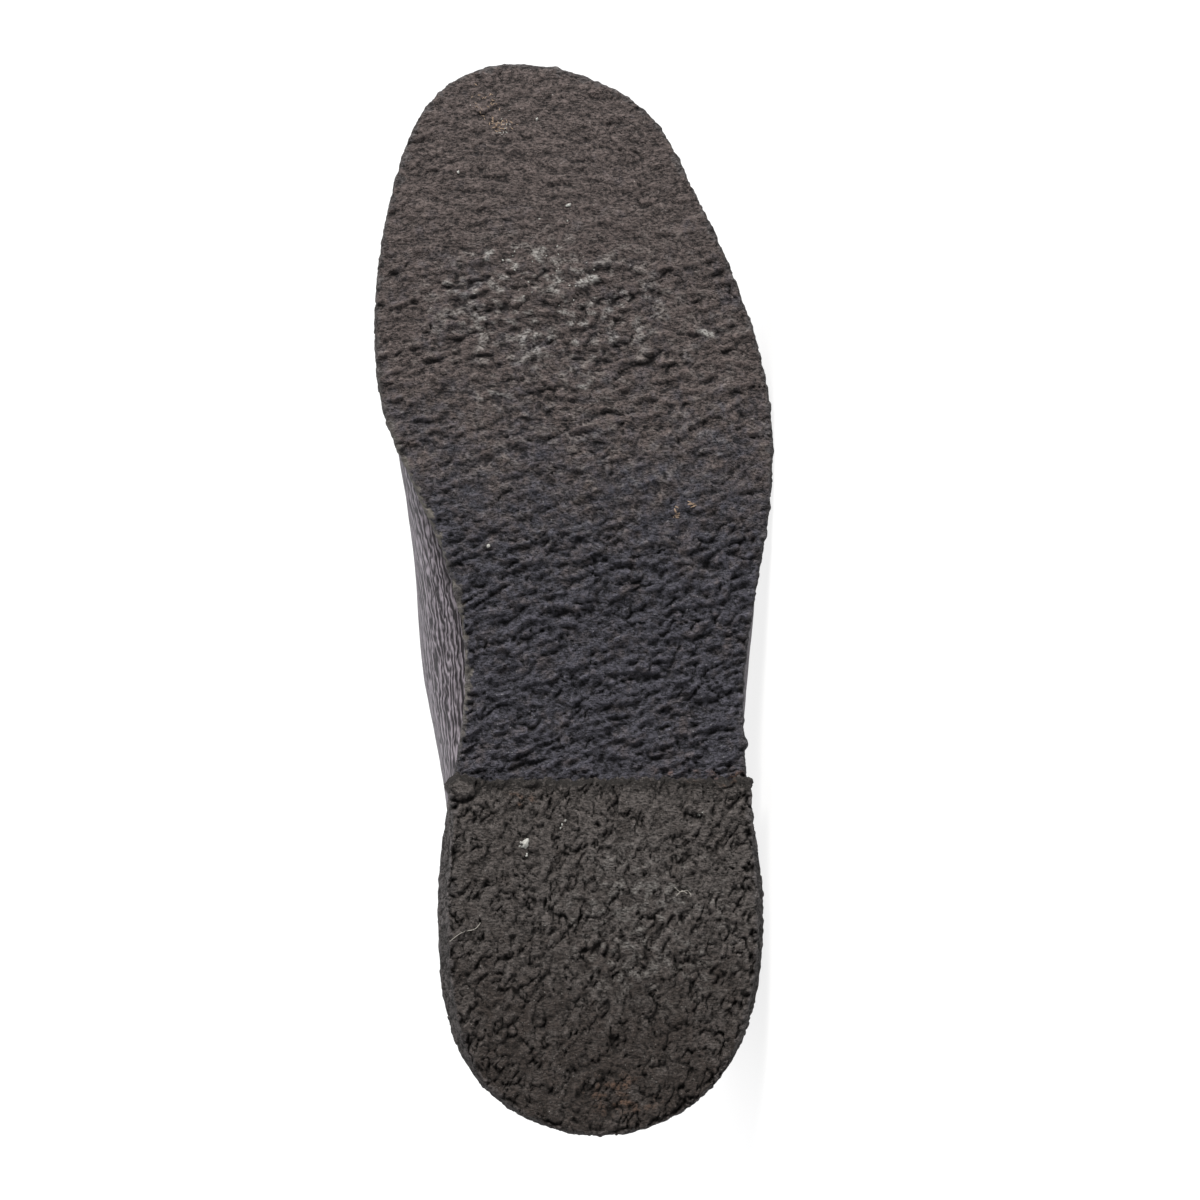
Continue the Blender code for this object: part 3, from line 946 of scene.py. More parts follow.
@dataclass(frozen=True)
class LeatherFinish:
    """Pebbled leather with a soft sheen and painted shade in the creases of its grain, drawn out in places
    into long ropes that follow the sole, with a painted sheen on the ropes and painted shade between them."""

    name: str = "pebbled_leather"
    # The crease, valley and shallow colours are painted shade in the grain's hollows; the rope colour carries
    # a painted sheen.
    crease: Colour = (0.017, 0.014, 0.017)
    valley_shade: Colour = (0.060, 0.053, 0.060)
    pebble: Colour = (0.103, 0.091, 0.103)
    rope_sheen: Colour = (0.215, 0.190, 0.215)
    shallow_shade: Colour = (0.075, 0.066, 0.075)
    scuff: Colour = (0.15, 0.135, 0.147)
    pore: Layer = Layer(0.4, 3.0, (0.3, 0.7), (-0.25, 0.25))
    patch: Layer = Layer(14.0, 3.0, (0.3, 0.7), (0.60, 0.70))
    rope_wander: Layer = Layer(1.9, 2.0, UNIT, (0.0, 3.0 * math.tau), (4.2, 1.0, 1.0))
    rope_ends: Layer = Layer(0.8, 2.0, (0.3, 0.7), (-0.9, 0.9), (6.5, 1.0, 1.0))
    rope_spacing: float = 1.05
    rope_span: Span = (-0.8, 1.3)
    rope_height: float = 1.7
    stir: Layer = Layer(3.0, 2.0)
    stir_reach: float = 0.8
    cell: float = 1.45
    cell_stretch: Triple = (1.4, 1.0, 1.0)
    line_span: Span = (0.0, 0.12)
    pebble_span: Span = (0.0, 0.38)
    grain_span: Span = (-0.5, 0.5)
    grain_tones: Span = (-0.25, 0.25)
    pebble_bump: Bump = Bump(0.30, 0.85)
    pore_bump: Bump = Bump(0.06, 0.25)
    specular: float = 0.4

    def material(self) -> Material:
        """Make the material.

        Returns:
            A material that reads grain, rub, pulled, the share of grain drawn out into ropes, climb,
            the distance up the wall, and low, the share of shade near the sole.
        """
        shader = Shader(self.name)
        pores, patches = shader.noise(self.pore), shader.noise(self.patch)
        turns = shader.times(shader.mark("climb"), math.tau / self.rope_spacing)
        waves = shader.math("SINE", shader.add(turns, shader.layer(self.rope_wander)))
        ropes = shader.remap(shader.add(waves, shader.layer(self.rope_ends)), self.rope_span)
        shader.stir(self.stir, self.stir_reach)
        cells = shader.cells(self.cell, self.cell_stretch)
        lines, pebbles = shader.remap(cells, self.line_span), shader.remap(cells, self.pebble_span)
        pulled = shader.mark("pulled")
        tone = shader.add(
            lines,
            shader.layer(self.pore, pores),
            shader.remap(shader.mark("grain"), self.grain_span, self.grain_tones),
        )
        # Painted shade: lines between the pebbles and valleys between the ropes are darker, darkest near the
        # sole; the ropes carry a painted sheen.
        plain = shader.mix(shader.remap(tone), self.valley_shade, self.pebble)
        valleys = shader.mix(shader.mark("low"), self.shallow_shade, self.crease)
        drawn = shader.mix(ropes, valleys, self.rope_sheen)
        colour = shader.mix(pulled, plain, drawn)
        colour = shader.mix(shader.times(shader.mark("rub"), patches), colour, self.scuff)
        height = shader.remap(pulled, UNIT, (pebbles, shader.times(ropes, self.rope_height)))
        coarse = shader.bump(height, self.pebble_bump)
        return shader.finish(
            Base_Color=colour,
            Roughness=shader.layer(self.patch, patches),
            Normal=shader.bump(pores, self.pore_bump, Normal=coarse),
            Specular_IOR_Level=self.specular,
        )


@dataclass(frozen=True)
class TanLeatherFinish:
    """Smooth tan leather of the sock and the lining, darkened by the foot."""

    name: str
    clean: Colour
    worn: Colour
    pore: Layer = Layer(0.5, 4.0, (0.35, 0.75), (0.0, 0.35))
    blotch: Layer = Layer(11.0, 4.0, (0.3, 0.7), (-0.22, 0.22))
    gloss: Span = (0.55, 0.72)
    bump: Bump = Bump(0.08, 0.5)
    specular: float = 0.35

    def material(self) -> Material:
        """Make the material.

        Returns:
            A material that reads wear.
        """
        shader = Shader(self.name)
        pores, blotch = shader.noise(self.pore), shader.noise(self.blotch)
        wear = shader.add(shader.mark("wear"), shader.layer(self.blotch, blotch))
        colour = shader.mix(shader.remap(wear), self.clean, self.worn)
        dark_pores = shader.layer(self.pore, pores)
        return shader.finish(
            Base_Color=shader.mix(dark_pores, colour, self.worn),
            Roughness=shader.remap(blotch, self.blotch.span, self.gloss),
            Normal=shader.bump(pores, self.bump),
            Specular_IOR_Level=self.specular,
        )


@dataclass(frozen=True)
class ThreadFinish:
    """Twisted waxed thread."""

    name: str = "waxed_thread"
    dark: Colour = (0.016, 0.014, 0.016)
    light: Colour = (0.060, 0.055, 0.060)
    twist: Layer = Layer(0.35, 1.0, (0.35, 0.65), stretch=(3.0, 1.0, 1.0))
    bump: Bump = Bump(0.1, 0.6)
    roughness: float = 0.5

    def material(self) -> Material:
        """Make the material.

        Returns:
            A material with the thread's twist.
        """
        shader = Shader(self.name)
        twist = shader.noise(self.twist)
        colour = shader.mix(shader.remap(twist, self.twist.span), self.dark, self.light)
        bumps = shader.bump(twist, self.bump)
        return shader.finish(Base_Color=colour, Roughness=self.roughness, Normal=bumps)


@dataclass(frozen=True)
class LitterFinish:
    """Grit, straw and lint picked up by the tread."""

    name: str = "picked_up_grit"
    pale: Colour = (0.30, 0.30, 0.28)
    straw: Colour = (0.24, 0.168, 0.115)
    soil: Colour = (0.10, 0.09, 0.08)
    speckle: Layer = Layer(0.5, 3.0, (0.4, 0.8), (0.0, 0.5))
    bump: Bump = Bump(0.2, 0.5)
    roughness: float = 0.8

    def material(self) -> Material:
        """Make the material.

        Returns:
            A material that reads straw.
        """
        shader = Shader(self.name)
        speckle = shader.noise(self.speckle)
        colour = shader.mix(shader.mark("straw"), self.pale, self.straw)
        soiled = shader.layer(self.speckle, speckle)
        colour = shader.mix(soiled, colour, self.soil)
        bumps = shader.bump(speckle, self.bump)
        return shader.finish(Base_Color=colour, Roughness=self.roughness, Normal=bumps)


@dataclass(frozen=True)
class FloorFinish:
    """Matt white studio floor that glows a little by itself."""

    name: str = "studio_floor"
    colour: Colour = (0.19, 0.19, 0.19)
    shade: float = 0.99
    patch: Layer = Layer(40.0, 2.0)
    glow: float = 0.84
    roughness: float = 0.9
    specular: float = 0.1

    def material(self) -> Material:
        """Make the material.

        Returns:
            A white material with a trace of unevenness.
        """
        shader = Shader(self.name)
        shaded = tuple(self.shade * part for part in self.colour)
        return shader.finish(
            Base_Color=shader.mix(shader.noise(self.patch), self.colour, shaded),
            Roughness=self.roughness,
            Specular_IOR_Level=self.specular,
            Emission_Color=WHITE,
            Emission_Strength=self.glow,
        )


class Sample(NamedTuple):
    """A reading of the noise: how much finer than the flakes, and how far off in the noise."""

    finer: Triple
    shift: Triple | float

    def at(self, place: Array) -> Array:
        """Points of the noise for places among the flakes."""
        return place * self.finer + self.shift


@dataclass(frozen=True)
class CrepeGrain:
    """Flakes of crepe rubber, in millimetres along and across the shoe, and the crumbs on them."""

    along: float
    across: float
    wander: float
    overhang: float
    flake: float
    crumb: float
    crack: float
    slant: float = 0.0
    shear: float = 0.0
    level: float = 3.5
    sway_along: Ripple = Ripple(1.0, (6.0, 9.0), 0.5)
    sway_across: Ripple = Ripple(1.5, 7.0, 9.5)
    crumbs: Sample = Sample((1.9, 2.6, 1.0), (7.1, 3.3, 11.0))
    pits: Sample = Sample((2.3, 3.3, 1.0), (1.7, 5.3, 23.0))
    pit_fade: Fade = Fade(-0.05, -0.45)
    pit_depth: float = 0.6
    cracks: Sample = Sample((0.8, 0.9, 1.0), 17.0)
    crack_width: float = 0.09
    breaks: Sample = Sample((0.7, 0.5, 1.0), 29.0)
    patch_fade: Fade = Fade(-0.05, 0.2)
    chunk: float = 0.0
    chunk_finer: Triple = (0.85, 1.0, 1.0)
    chunk_stir: float = 0.4
    chunk_step: float = 0.8
    chunk_crown: float = 0.3
    chunk_lift: float = 0.2
    rims: Sample = Sample((0.8, 1.1, 1.0), 43.0)
    rim_fade: Fade = Fade(0.14, 0.0)
    rim_depth: float = 0.8
    worn: float = 0.0
    worn_from: float = 0.05

    def height(self, texture: Texture, plan: Array) -> Array:
        """Work out the flakes.

        Args:
            texture: Noise to draw on.
            plan: Plan points.

        Returns:
            Heights about a mean of 0, steeper on the side of each flake that faces the heel.
        """
        along = plan[:, 0] - self.slant * plan[:, 1]
        across = plan[:, 1] - self.shear * plan[:, 0]
        along = along + self.wander * self.sway_along.over(texture, stack(along, across))
        across = across + self.wander * self.sway_across.over(texture, stack(along, across))
        place = stack(along / self.along, across / self.across, self.level)
        flakes = texture.leaning(place, self.overhang)
        crumbs = texture.leaning(self.crumbs.at(place), self.overhang)
        pits = self.pit_fade(texture.smooth(self.pits.at(place)))
        cracks = 1.0 - texture.lumps(self.cracks.at(place), self.crack_width)
        broken = self.patch_fade(texture.smooth(self.breaks.at(place)))
        height = self.flake * flakes + self.crumb * (crumbs - self.pit_depth * pits)
        height = height - self.crack * cracks * broken
        if self.chunk:
            stirred = place + self.chunk_stir * stack(crumbs, flakes, 0.0)
            height = height + self.chunk * self.chunks(texture, place, stirred)
        return height - self.worn * np.maximum(height - self.worn_from, 0.0)

    def chunks(self, texture: Texture, place: Array, stirred: Array) -> Array:
        """Work out the chunks that flakes gather into.

        Args:
            texture: Noise to draw on.
            place: Places among the flakes.
            stirred: The same places, moved about by the flakes and the crumbs.

        Returns:
            A height of its own for each chunk, with a crown, less the grooves between some of them.
        """
        nearest, second, own = texture.cells(stirred * self.chunk_finer)
        rim = self.patch_fade(texture.smooth(self.rims.at(place))) * self.rim_fade(second - nearest)
        steps = self.chunk_step * (own - 0.5) - self.chunk_crown * nearest**2
        return steps - self.rim_depth * rim + self.chunk_lift


MARK_EDGE = 3.0


class MarkKind(Enum):
    """What a mark on the tread is."""

    DUST = "dust"
    STAIN = "stain"


class TreadMark(NamedTuple):
    """A dusty or stained patch of the tread: its middle, its half sizes and its strength."""

    kind: MarkKind
    x: float
    y: float
    half_x: float
    half_y: float
    strength: float

    def share(self, plan: Array) -> Array:
        """Strength of the mark at plan points, before it is broken up."""
        away = np.hypot((plan[:, 0] - self.x) / self.half_x, (plan[:, 1] - self.y) / self.half_y)
        return self.strength * np.exp(-(away**MARK_EDGE))


MARK_PATCHES = Ripple(1.0, (1.7, 2.6), 21.5)
MARK_PATCH_FADE = Fade(-0.05, 0.25)
MARKED_TOPS = Fade(0.40, 0.75)
TREAD_MARKS = (
    TreadMark(MarkKind.DUST, 230.0, -24.0, 3.4, 10.5, 0.85),
    TreadMark(MarkKind.DUST, 224.2, -10.5, 1.8, 14.5, 0.75),
    TreadMark(MarkKind.DUST, 222.6, -41.5, 1.1, 3.2, 0.75),
    TreadMark(MarkKind.DUST, 227.6, 25.4, 1.2, 1.6, 0.75),
    TreadMark(MarkKind.DUST, 210.3, 28.1, 1.4, 4.6, 0.70),
    TreadMark(MarkKind.DUST, 193.5, -28.6, 1.6, 4.0, 0.60),
    TreadMark(MarkKind.DUST, 196.0, -4.7, 1.8, 5.5, 0.55),
    TreadMark(MarkKind.DUST, 216.0, -13.0, 17.0, 30.0, 0.42),
    TreadMark(MarkKind.DUST, 196.0, 0.0, 45.0, 60.0, 0.10),
    TreadMark(MarkKind.DUST, 56.0, 12.0, 20.0, 22.0, 0.16),
    TreadMark(MarkKind.STAIN, 94.6, 33.5, 2.4, 4.6, 0.70),
    TreadMark(MarkKind.STAIN, 94.6, 20.0, 1.6, 10.0, 0.45),
    TreadMark(MarkKind.STAIN, 88.3, -22.0, 1.8, 3.8, 1.00),
    TreadMark(MarkKind.STAIN, 11.5, 4.7, 5.0, 9.0, 0.45),
    TreadMark(MarkKind.STAIN, 20.0, 38.0, 4.0, 2.5, 0.40),
)


def marked(kind: MarkKind, plan: Array, relief: Array, texture: Texture) -> Array:
    """Share of a kind of mark at plan points, patchy and mostly on the tops of the relief, from 0 to 1."""
    shares = [mark.share(plan) for mark in TREAD_MARKS if mark.kind is kind]
    return np.max(shares, axis=0) * MARK_PATCH_FADE(MARK_PATCHES.over(texture, plan)) * MARKED_TOPS(relief)


@dataclass
class SolePlan:
    """Plan grid of a sole piece, between two side rows, a front row and a back row."""

    last: ShoeLast
    side_x: Array
    columns: int
    foot_line: Callable[[Array, Numbers], Array]
    straight_front: bool = False
    corner_reach: float = 0.0
    back_share: float = 0.45
    back_fade: Fade = Fade(4.0, 34.0)

    def __post_init__(self) -> None:
        """Find the places of the border's rows."""
        last = self.last
        self.inner = last.place_of(last.edge_x, self.side_x)
        self.outer = FULL_TURN - last.place_of(lambda place: last.edge_x(FULL_TURN - place), self.side_x)
        self.front = last.even_places(self.inner[0], self.outer[0] - FULL_TURN, self.columns)
        self.back = last.even_places(self.inner[-1], self.outer[-1], self.columns)

    def offset(self, places: Array, distance: float) -> Array:
        """Plan points out from the border, less far towards a straight front and the back.

        Args:
            places: Places round the sole.
            distance: How far out, in millimetres.

        Returns:
            The points.
        """
        if not self.corner_reach:
            return self.foot_line(places, distance)
        x = self.last.edge_x(places)
        near = 1.0 - np.clip((self.last.breast_x - x) / self.corner_reach, 0.0, 1.0)
        back = self.back_share + (1.0 - self.back_share) * self.back_fade(x)
        return self.foot_line(places, distance * (1.0 - near**2) * back)

    def grid(self, distance: float) -> Array:
        """Fill the border smoothly with rows and columns.

        Args:
            distance: How far out the border stands, in millimetres.

        Returns:
            Plan points by row, front to back, and column, inner to outer side.
        """
        inner, outer = (self.offset(places, distance)[:, None] for places in (self.inner, self.outer))
        front, back = (self.offset(places, distance)[None] for places in (self.front, self.back))
        across = np.linspace(0.0, 1.0, self.columns)[None, :, None]
        sides = inner * (1.0 - across) + outer * across
        if self.straight_front:
            front = sides[:1]
        down = ((self.side_x - self.side_x[0]) / (self.side_x[-1] - self.side_x[0]))[:, None, None]
        along = front * (1.0 - down) + back * down
        corners = sides[:1] * (1.0 - down) + sides[-1:] * down
        return along + sides - corners

    def ring(self, distance: float) -> Array:
        """Plan points of the border at a distance out, in the order of border_loop."""
        grid = self.grid(distance)
        return grid.reshape(-1, 2)[border_loop(*grid.shape[:2])]


class EdgeLump(NamedTuple):
    """A torn lump on a tread's edge: its place, its reach along the edge and how far it stands out."""

    x: float
    y: float
    reach: float
    out: float

    def away(self, plan: Array, squeeze: float = 1.0) -> Array:
        """Distance of plan points from its place, in reaches, with the shoe's length squeezed."""
        return np.hypot(squeeze * (plan[:, 0] - self.x), plan[:, 1] - self.y) / self.reach


class Level(NamedTuple):
    """A ring round a sole piece: how far out it stands, and its height over the piece's base."""

    out: float
    height: float


@dataclass
class CrepePiece:
    """A block of crepe rubber with a lumpy tread, ragged edges and sanded sides."""

    last: ShoeLast
    pose: LyingPose
    texture: Texture
    tread_round: float = 1.4
    front_round: float = 0.3
    ragged: float = 0.75
    ragged_reach: float = 2.2
    ragged_ease: float = 1.5
    ragged_climb: float = 2.2
    side_ragged: float = 0.25
    front_frayed: float = 1.2
    rag_lumps: tuple[Ripple, ...] = (Ripple(0.9, 3.1, 41.5), Ripple(0.85, 1.3, 47.5))
    sanding: float = 0.42
    side_fade: Fade = Fade(0.15, 0.6)
    side_wander: float = 1.3
    plate_size: float = 3.4
    plate_stir: float = 0.3
    plate_step: float = 0.9
    plate_rough: float = 0.8
    plate_crack: float = 0.9
    plate_crack_fade: Fade = Fade(0.14, 0.02)
    rough_size: float = 1.1
    stir_size: float = 1.9
    edge_lumps: tuple[EdgeLump, ...] = ()
    groove: float = 0.0
    groove_inside: float = 1.1
    groove_width: float = 0.4
    groove_wander: float = 1.2
    edge_wander: Ripple = Ripple(0.9, 1.1, 53.5)
    torn: Ripple = Ripple(1.0, 4.0, 71.5)
    torn_fade: Fade = Fade(-0.1, 0.2)
    hollow_reach: int = 7
    mid_tone: float = 0.62
    hollow_shade: float = 0.9
    top_light: float = 0.35
    plate_tone_and_shade: float = 0.8
    front_edge_shade: float = 0.35
    front_shade: float = 0.4
    tread_tree: KDTree = field(init=False, repr=False)
    tread_points: Array = field(init=False, repr=False)

    def mould(self, plan: SolePlan, levels: Sequence[Level], base: Callable[[Array], Array], depth: Array,
              relief: Array) -> tuple[Draft, Array]:
        """Shape the tread and the sides.

        Args:
            plan: Plan grid of the piece.
            levels: Rings from the tread's edge up, the first being the tread's own border.
            base: Height of the tread from x.
            depth: How far the lumps stand out at each point of the grid, in millimetres.
            relief: Height of the lumps, from 0 to 1.

        Returns:
            The draft with its last ring open, and the numbers of that ring's points.
        """
        grid = plan.grid(levels[0].out)
        rows, columns = grid.shape[:2]
        flat = grid.reshape(-1, 2)
        ring = border_loop(rows, columns)
        border = flat[ring]
        outward = loop_outward(border)
        tree = plan_tree(border)
        found = [tree.find((*point, 0.0)) for point in flat]
        near = np.array([number for _, number, _ in found])
        inside = np.array([distance for _, _, distance in found])
        sanded = self.sanded(flat)
        short = np.clip(self.tread_round - inside, 0.0, self.tread_round)
        rounding = self.tread_round - np.sqrt(self.tread_round**2 - short**2)
        rounding = rounding * (self.front_round + (1.0 - self.front_round) * sanded)
        lumps = self.rags(border)
        knobs = sum(lump.out * np.exp(-(lump.away(border) ** 2)) for lump in self.edge_lumps)
        bulge = self.ragged * lumps * self.frayed(border) + knobs
        edge = np.clip(1.0 - inside / self.ragged_reach, 0.0, 1.0)
        spread = flat + outward[near] * (bulge[near] * edge**self.ragged_ease)[:, None]
        torn = self.torn_fade(self.torn.over(self.texture, flat))
        wander = lumps[near] + self.edge_wander.over(self.texture, flat)
        gap = (inside - self.groove_inside - self.groove_wander * wander) / self.groove_width
        relief = relief - self.groove * torn * np.exp(-(gap**2)) * sanded
        tread = base(flat[:, 0]) + rounding - depth * relief
        # Painted shade: the tone is darker in the hollows, where the relief lies below its own blur, lighter
        # on the tops, and darker along the unsanded front edge.
        hollow = relief - softened(relief.reshape(rows, columns), self.hollow_reach).ravel()
        relief = self.mid_tone + self.hollow_shade * hollow + self.top_light * relief
        points, faces = [stack(*spread.T, tread)], [grid_quads(rows, columns)]
        tones = [relief - self.front_edge_shade * edge * (1.0 - sanded)]
        sides = [self.side_fade(1.0 - inside / self.tread_round + self.side_wander * wander) * sanded]
        for level in levels[1:]:
            band = plan.ring(level.out)
            rub = self.plates(stack(*band.T, level.height))
            fade = max(self.side_ragged, 1.0 - level.height / (self.ragged_climb * self.tread_round))
            fade = fade + (1.0 - fade) * (1.0 - self.sanded(border))
            bulge = self.ragged * self.rags(border, level.height) * self.frayed(border) + knobs
            band = band + outward * (self.sanding * rub + bulge * fade)[:, None]
            ring = add_ring(points, faces, ring, stack(*band.T, base(band[:, 0]) + level.height))
            # Each side plate gets a tone of its own, with painted shade in the cracks between the plates.
            tones.append(self.mid_tone + self.plate_tone_and_shade * rub)
            sides.append(self.sanded(band))
        draft = Draft(np.concatenate(points), faces)
        shade = self.front_shade * (1.0 - self.sanded(draft.points[:, :2]))
        draft.marks["relief"] = np.concatenate(tones) - shade
        draft.marks["side"] = np.concatenate(sides)
        for kind in MarkKind:
            draft.mark(kind.value, marked(kind, flat, relief, self.texture))
        self.tread_tree, self.tread_points = plan_tree(spread), draft.points
        return draft, ring

    def sanded(self, plan: Array) -> Array:
        """Share of sanding on the sides near plan points."""
        return np.ones(len(plan))

    def frayed(self, plan: Array) -> Array:
        """How much more ragged than usual the edge is near plan points: most where it isn't sanded."""
        return 1.0 + self.front_frayed * (1.0 - self.sanded(plan))

    def rags(self, border: Array, height: float = 0.0) -> Array:
        """Lumps of a ragged edge round plan points, at a height over the tread, about -1 to 1."""
        return sum(lump.over(self.texture, border, height / lump.lengths) for lump in self.rag_lumps)

    def plates(self, places: Array) -> Array:
        """Height of the rough plates on the sides, about -1 to 1.

        Args:
            places: Plan points and their heights over the tread.

        Returns:
            A height of its own for each plate, less the thin cracks between them.
        """
        rough = self.texture.smooth(places / self.rough_size)
        stir = stack(rough, self.texture.smooth(places / self.stir_size), 0.0)
        nearest, second, own = self.texture.cells(places / self.plate_size + self.plate_stir * stir)
        cracks = self.plate_crack * self.plate_crack_fade(second - nearest)
        return self.plate_step * (own - 0.5) + self.plate_rough * rough - cracks

    def tread_at(self, x: float, y: float, reach: float = 0.0) -> Array:
        """Point of the tread's surface at a plan point.

        Args:
            x: Distance from the back of the heel.
            y: Distance to the outer side.
            reach: How far round it to look for the tread's outermost height.

        Returns:
            The point.
        """
        point = self.tread_points[self.tread_tree.find((x, y, 0.0))[1]].copy()
        found = self.tread_tree.find_range((x, y, 0.0), reach)
        point[2] = min([point[2], *(self.tread_points[number][2] for _, number, _ in found)])
        return point


@dataclass
class Outsole(CrepePiece):
    """Crepe slab with the shoe's whole outline, wrinkled from side to side."""

    edge_lumps: tuple[EdgeLump, ...] = (
        EdgeLump(279.8, -26.0, 1.6, 0.7),
        EdgeLump(281.0, -12.0, 1.2, 0.5),
        EdgeLump(102.8, 38.0, 1.7, 0.8),
    )
    pitch: float = 0.48
    hidden_pitch: float = 1.6
    columns: int = 195
    toe_row_x: float = 266.0
    heel_row_x: float = 14.0
    breast_reach: float = 2.0
    side_heights: tuple[float, ...] = (2.3, 3.2, 4.1)
    top_round: float = 0.5
    top_rings: tuple[float, ...] = (1.4, 2.4, 3.5, 4.7, 6.0, 11.0)
    lump_depth: float = 1.45
    waist_deeper: float = 0.25
    waist_fade: Fade = Fade(185.0, 150.0)
    toe_fade: Fade = Fade(222.0, 245.0)
    toe: CrepeGrain = CrepeGrain(
        along=2.2, across=5.4, slant=0.10, wander=1.6, overhang=0.5, flake=0.60, crumb=0.45, crack=0.45
    )
    forefoot: CrepeGrain = CrepeGrain(
        along=2.1, across=5.4, slant=0.20, wander=1.5, overhang=0.6, flake=0.90, crumb=0.55, crack=0.70
    )
    waist: CrepeGrain = CrepeGrain(
        along=1.9, across=5.0, slant=0.27, wander=1.3, overhang=0.6, flake=0.90, crumb=0.60, crack=0.70
    )
    calm: float = 0.35
    calm_toe: Fade = Fade(195.0, 235.0)
    calm_inner: Fade = Fade(5.0, -15.0)
    cool_fade: Fade = Fade(206.0, 138.0)
    heel_cool: float = 0.35
    heel_cool_fade: Fade = Fade(62.0, 94.0)
    toe_warmth: float = 0.35
    toe_warm_fade: Fade = Fade(222.0, 250.0)
    raw_share: float = 0.8
    raw_back: Fade = Fade(95.0, 120.0)
    raw_front: Fade = Fade(210.0, 165.0)
    raw_patches: Ripple = Ripple(1.0, 3.0, 61.5)
    raw_patch_fade: Fade = Fade(-0.5, 0.2)
    raw_sides: Fade = Fade(0.55, 0.9)
    finish: CrepeFinish = CrepeFinish(
        name="wrinkled_crepe",
        crevice_shade=(0.012, 0.010, 0.010),
        top=(0.103, 0.082, 0.077),
        cool_crevice_shade=(0.008, 0.008, 0.010),
        cool_top=(0.062, 0.060, 0.075),
    )

    def frayed(self, plan: Array) -> Array:
        """How much more ragged than usual the edge is near plan points: least on the toe's inner side."""
        return 1.0 - self.calm * self.calm_toe(plan[:, 0]) * self.calm_inner(plan[:, 1])

    def build(self) -> Piece:
        """Build and dress the outsole.

        Returns:
            The piece.
        """
        last = self.last
        breast = Fade(last.breast_x - self.breast_reach, last.breast_x + self.breast_reach)
        shown = np.arange(self.toe_row_x, breast.start, -self.pitch)
        hidden = np.arange(shown[-1] - self.hidden_pitch, self.heel_row_x, -self.hidden_pitch)
        plan = SolePlan(last, np.concatenate([shown, hidden]), self.columns, last.edge_offset)
        flat = plan.grid(0.0).reshape(-1, 2)
        x = flat[:, 0]
        waist_share, toe_share = self.waist_fade(x), self.toe_fade(x)
        relief = self.forefoot.height(self.texture, flat) * (1.0 - waist_share) * (1.0 - toe_share)
        relief += self.waist.height(self.texture, flat) * waist_share
        relief += self.toe.height(self.texture, flat) * toe_share
        depth = self.lump_depth * (1.0 + self.waist_deeper * waist_share) * breast(x)
        thick = last.sole_thickness
        heights = (self.tread_round, *self.side_heights, thick - self.top_round)
        levels = [Level(0.0, height) for height in heights]
        levels += [Level(-out, thick) for out in (self.top_round, *self.top_rings)]
        draft, ring = self.mould(plan, levels, last.tread_height, depth, relief)
        draft.faces += ladder_faces(ring)
        x, y = draft.points[:, 0], draft.points[:, 1]
        under_heel = self.heel_cool + (1.0 - self.heel_cool) * self.heel_cool_fade(x)
        draft.marks["cool"] = self.cool_fade(x) * under_heel - self.toe_warmth * self.toe_warm_fade(x)
        arch = self.raw_share * self.raw_back(x) * self.raw_front(x) * (y < 0.0)
        patchy = self.raw_patch_fade(self.raw_patches.over(self.texture, stack(x, y)))
        draft.marks["raw_edge"] = arch * patchy * self.raw_sides(draft.marks["side"])
        return draft.make("outsole_crepe", self.pose, self.finish.material(), Slot.OUTSOLE, "outsole")


